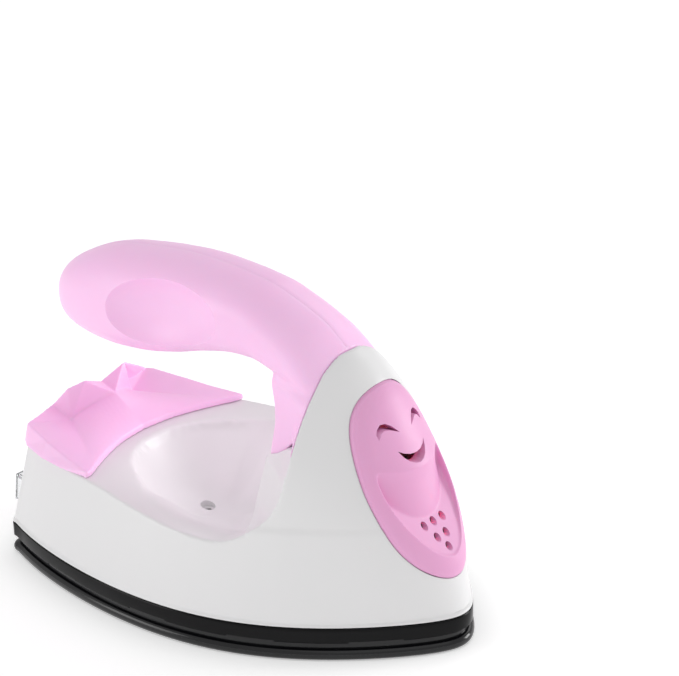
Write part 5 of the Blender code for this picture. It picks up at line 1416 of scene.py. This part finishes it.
@dataclass
class HeelFittings:
    """The faceted heel cover and the two clear feet."""

    maker: Maker
    hull: HullForm
    floor: float = 25.3 * MM
    steps: int = 12
    rows: int = 8
    fold_steps: int = 3
    crest_power: float = 1.6
    grid: float = 0.22 * MM
    passes: int = 7
    pegs: Rows = mm_rows((1.5, 21.6, 27.0, 5.0, 46.5))
    foot_place: Pair = mm(14.0, 11.6)
    foot_outline: Rows = mm_rows(
        (-3.2, -3.2), (3.2, -3.2), (3.2, -1.8), (-1.8, -1.8), (-1.8, 3.2), (-3.2, 3.2),
    )
    foot_span: Pair = mm(0.15, 4.35)
    foot_base: Point = mm(7.2, 7.2, 1.2)
    foot_lift: Point = mm(0.0, 0.0, 0.75)
    foot_peg: Point = mm(1.2, -1.9, 0.6)
    foot_grid: float = 0.16 * MM
    foot_passes: int = 3
    crease: float = 60.0
    fold: float = 21.0 * MM
    back: float = 49.9 * MM
    front_low: Table = Table(mm_rows(
        (0.0, 32.4), (7.0, 31.6), (12.0, 30.2), (18.0, 27.9), (23.0, 25.6),
    ))
    front_rim: Table = Table(mm_rows(
        (0.0, 32.6), (7.0, 31.8), (12.0, 30.5), (18.0, 28.2), (23.0, 25.8),
    ))
    side_low: Rows = mm_rows(
        (23.0, 25.6), (24.9, 25.3), (24.6, 33.0), (23.2, 40.5), (20.6, 47.4), (18.6, 49.9),
    )
    side_rim: Rows = mm_rows(
        (23.0, 25.8, 26.4), (24.7, 25.4, 26.5), (22.9, 33.0, 27.3), (21.2, 40.5, 28.4),
        (19.4, 46.8, 29.5), (18.6, 48.6, 29.6),
    )
    rim_height: float = 26.55 * MM
    rear: Point = mm(10.6, 48.9, 31.0)
    valley: Point = mm(0.0, 40.2, 32.1)
    foot: Point = mm(9.5, 44.6, 28.0)
    ridge: Rows = mm_rows((8.8, 45.8, 34.9), (6.1, 43.2, 36.4), (0.0, 44.4, 33.8))

    def half_lines(self) -> tuple[Ring, Ring, Ring, Ring, Ring]:
        """One side's lines: low edge, rim, front slope's top, fold of the wing and ridge."""
        low, rim, crest, fold = [], [], [], []
        for i in range(self.steps + 1):
            share = i / self.steps
            x = self.fold * share
            low.append((x, self.front_low(x), self.floor))
            rim.append((x, self.front_rim(x), self.rim_height))
            (x0, y0, z0), (x1, y1, z1) = self.valley, self.foot
            rise = lerp(z0, z1, share**self.crest_power)
            crest.append((lerp(x0, x1, share), lerp(y0, y1, share), rise))
        for share in spread(0.0, 1.0, self.fold_steps)[1:-1]:
            fold.append(tuple(lerp(a, b, share) for a, b in zip(rim[-1], self.foot)))
        low += [(x, y, self.floor) for x, y in self.side_low]
        low.append((0.0, self.back, self.floor))
        rim += list(self.side_rim) + [self.rear]
        return low, rim, crest, fold, list(self.ridge)

    def cover(self) -> Solid:
        """The cover, with its wings, groove and softly broken edges."""
        bm = bmesh.new()
        made = {}

        def vertex(x: float, y: float, z: float) -> bmesh.types.BMVert:
            """The one vertex at a place."""
            key = (round(x, 7), round(y, 7), round(z, 7))
            if key not in made:
                made[key] = bm.verts.new(key)
            return made[key]

        last = self.steps
        for side in (1.0, -1.0):
            low, rim, crest, fold, top = [
                [vertex(side * x, y, z) for x, y, z in line] for line in self.half_lines()
            ]
            fold = [rim[last], *fold, crest[-1]]
            walls = range(last + len(self.side_low))
            faces = [(low[i], low[i + 1], rim[i + 1], rim[i]) for i in walls]
            faces.append((low[-2], low[-1], top[2], top[1], top[0], rim[-1], rim[-2]))
            rows = [rim[: last + 1]]
            for share in spread(0.0, 1.0, self.rows)[1:-1]:
                pairs = zip(rim[: last + 1], crest)
                rows.append([vertex(*a.co.lerp(b.co, share)) for a, b in pairs])
            rows.append(crest)
            for near, far in zip(rows, rows[1:]):
                faces += [(near[i], near[i + 1], far[i + 1], far[i]) for i in range(last)]
            faces += [(top[1], crest[i], crest[i + 1]) for i in range(last)]
            faces.append((rim[last], rim[last + 1], rim[last + 2]))
            wing = rim[last + 2 :]
            folds = range(self.fold_steps)
            faces += [(fold[i], wing[i], wing[i + 1], fold[i + 1]) for i in folds]
            faces += [(crest[-1], rim[-3], rim[-2], rim[-1]), (rim[-1], top[0], crest[-1])]
            faces += [(top[0], top[1], crest[-1]), (top[1], top[2], crest[0])]
            for face in faces:
                bm.faces.new(face)
        line = self.half_lines()[0]
        right, left = [[vertex(side * x, y, z) for x, y, z in line] for side in (1.0, -1.0)]
        bm.faces.new(right + list(reversed(left[1:-1])))
        bmesh.ops.triangulate(bm, faces=bm.faces)
        cover = object_from("wedge_cover", bm)
        melt(cover, self.grid, self.passes)
        combine(cover, Join.ADD, *mirrored(self.pegs, upright))
        return self.maker.finish(crisp(cover, self.crease), "handle_pink", "heel_cover")

    def feet(self) -> list[Solid]:
        """The clear L-shaped feet on the heel wall."""
        made = []
        for side, name in ((1, "right"), (-1, "left")):
            x, z = self.foot_place
            place = self.hull.heel_frame(side * x, z)
            rings = [
                [tuple(place @ Vector((-side * x, y, z))) for x, y in self.foot_outline]
                for z in self.foot_span
            ]
            foot = skin(f"stand_foot_{name}", rings)
            combine(foot, Join.ADD, block("base", self.foot_base, self.foot_lift, place))
            melt(foot, self.foot_grid, self.foot_passes)
            combine(foot, Join.ADD, rod(*self.foot_peg, place))
            made.append(self.maker.finish(crisp(foot, self.crease), "clear", f"heel_foot_{name}"))
        return made


@dataclass
class InnerWorks:
    """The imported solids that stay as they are: heater, thermostat, lamp, screws and wires."""

    finishes: FinishBook

    def dress(self) -> None:
        """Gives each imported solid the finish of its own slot."""
        for part in frame["record"]["subparts"]:
            node = frame["nodes"][part["node"]]
            node.data.materials.clear()
            node.data.materials.append(self.finishes[part["material_slot"]])
            LOG.info("%s keeps its packed shape in %s", node.name, part["material_slot"])


@dataclass(frozen=True)
class SoftLamp:
    """A square lamp that the camera doesn't see."""

    name: str
    place: Point
    size: float
    power: float
    aim: Point = (0.0, 0.0, 0.03)

    def hang(self) -> None:
        """Puts the lamp in the room, turned to what it lights."""
        data = bpy.data.lights.new(self.name, "AREA")
        data.shape = "SQUARE"
        data.size = self.size
        data.energy = self.power
        obj = linked(self.name, data)
        obj.location = self.place
        way = Vector(self.aim) - Vector(self.place)
        obj.rotation_euler = way.to_track_quat("-Z", "Y").to_euler()
        obj.visible_camera = False


@dataclass
class Studio:
    """A pale room with soft light and the photograph's camera."""

    floor_size: float = 6.0
    floor_colour: Colour = (0.95, 0.95, 0.95)
    floor_roughness: float = 0.8
    floor_light: float = 0.30
    sky: float = 0.64
    lamps: tuple[SoftLamp, ...] = (
        SoftLamp("above", (-0.25, -0.45, 0.90), 0.9, 0.7),
        SoftLamp("left", (-0.75, 0.65, 0.35), 0.5, 2.1),
        SoftLamp("far", (0.90, 0.05, 0.65), 0.5, 0.7),
        SoftLamp("nose", (0.95, -0.75, 0.30), 0.5, 5.8),
        SoftLamp("dish", mm(-2.0, 10.0, 43.0), 20.0 * MM, 0.0018, mm(-2.0, 10.0, 0.0)),
    )
    camera_place: Point = mm(-324.103, -284.942, 226.894)
    camera_turn: Point = (68.0481, 1.752, -51.7129)
    focal_pixels: float = 2295.057
    image_width: float = 679.0
    sensor: float = 36.0
    clip: Pair = (0.01, 50.0)

    def camera(self) -> None:
        """The camera that took the photograph's view."""
        data = bpy.data.cameras.new("camera")
        data.sensor_width = self.sensor
        data.lens = self.focal_pixels / self.image_width * self.sensor
        data.clip_start, data.clip_end = self.clip
        obj = linked("camera", data)
        obj.location = self.camera_place
        obj.rotation_euler = [math.radians(angle) for angle in self.camera_turn]
        bpy.context.scene.camera = obj

    def floor(self) -> None:
        """A plain white floor."""
        bm = bmesh.new()
        bmesh.ops.create_grid(bm, x_segments=1, y_segments=1, size=self.floor_size / 2)
        mesh = bpy.data.meshes.new("floor")
        bm.to_mesh(mesh)
        bm.free()
        nodes = Nodes("floor")
        nodes.fill(nodes.shader, {
            "Base Color": (*self.floor_colour, 1.0),
            "Roughness": self.floor_roughness,
            "Emission Color": (1.0, 1.0, 1.0, 1.0),
            "Emission Strength": self.floor_light,
        })
        mesh.materials.append(nodes.material)
        linked("floor", mesh)

    def build(self) -> None:
        """Sets up the whole room, with plain colours like the photograph's."""
        scene = bpy.context.scene
        scene.view_settings.view_transform = "Standard"
        self.camera()
        self.floor()
        scene.world = bpy.data.worlds.new("sky")
        scene.world.use_nodes = True
        sky = scene.world.node_tree.nodes["Background"]
        sky.inputs["Color"].default_value = (1.0, 1.0, 1.0, 1.0)
        sky.inputs["Strength"].default_value = self.sky
        for lamp in self.lamps:
            lamp.hang()


def main() -> None:
    """Builds the iron's looks in order and reports each piece."""
    logging.basicConfig(level=logging.INFO, format="%(name)s: %(message)s")
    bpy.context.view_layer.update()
    Studio().build()
    finishes = FinishBook()
    maker = Maker(finishes)
    sole = SoleOutline()
    hull = HullForm(sole)
    InnerWorks(finishes).dress()
    plate = Sole(maker, sole)
    plate.soleplate()
    plate.skirt()
    panel = NosePanel(maker, hull)
    handle = Handle(maker, hull)
    Shell(maker, hull, panel, handle).body()
    panel.plate()
    handle.halves()
    heel = HeelFittings(maker, hull)
    heel.cover()
    heel.feet()


if __name__ == "__main__":
    main()
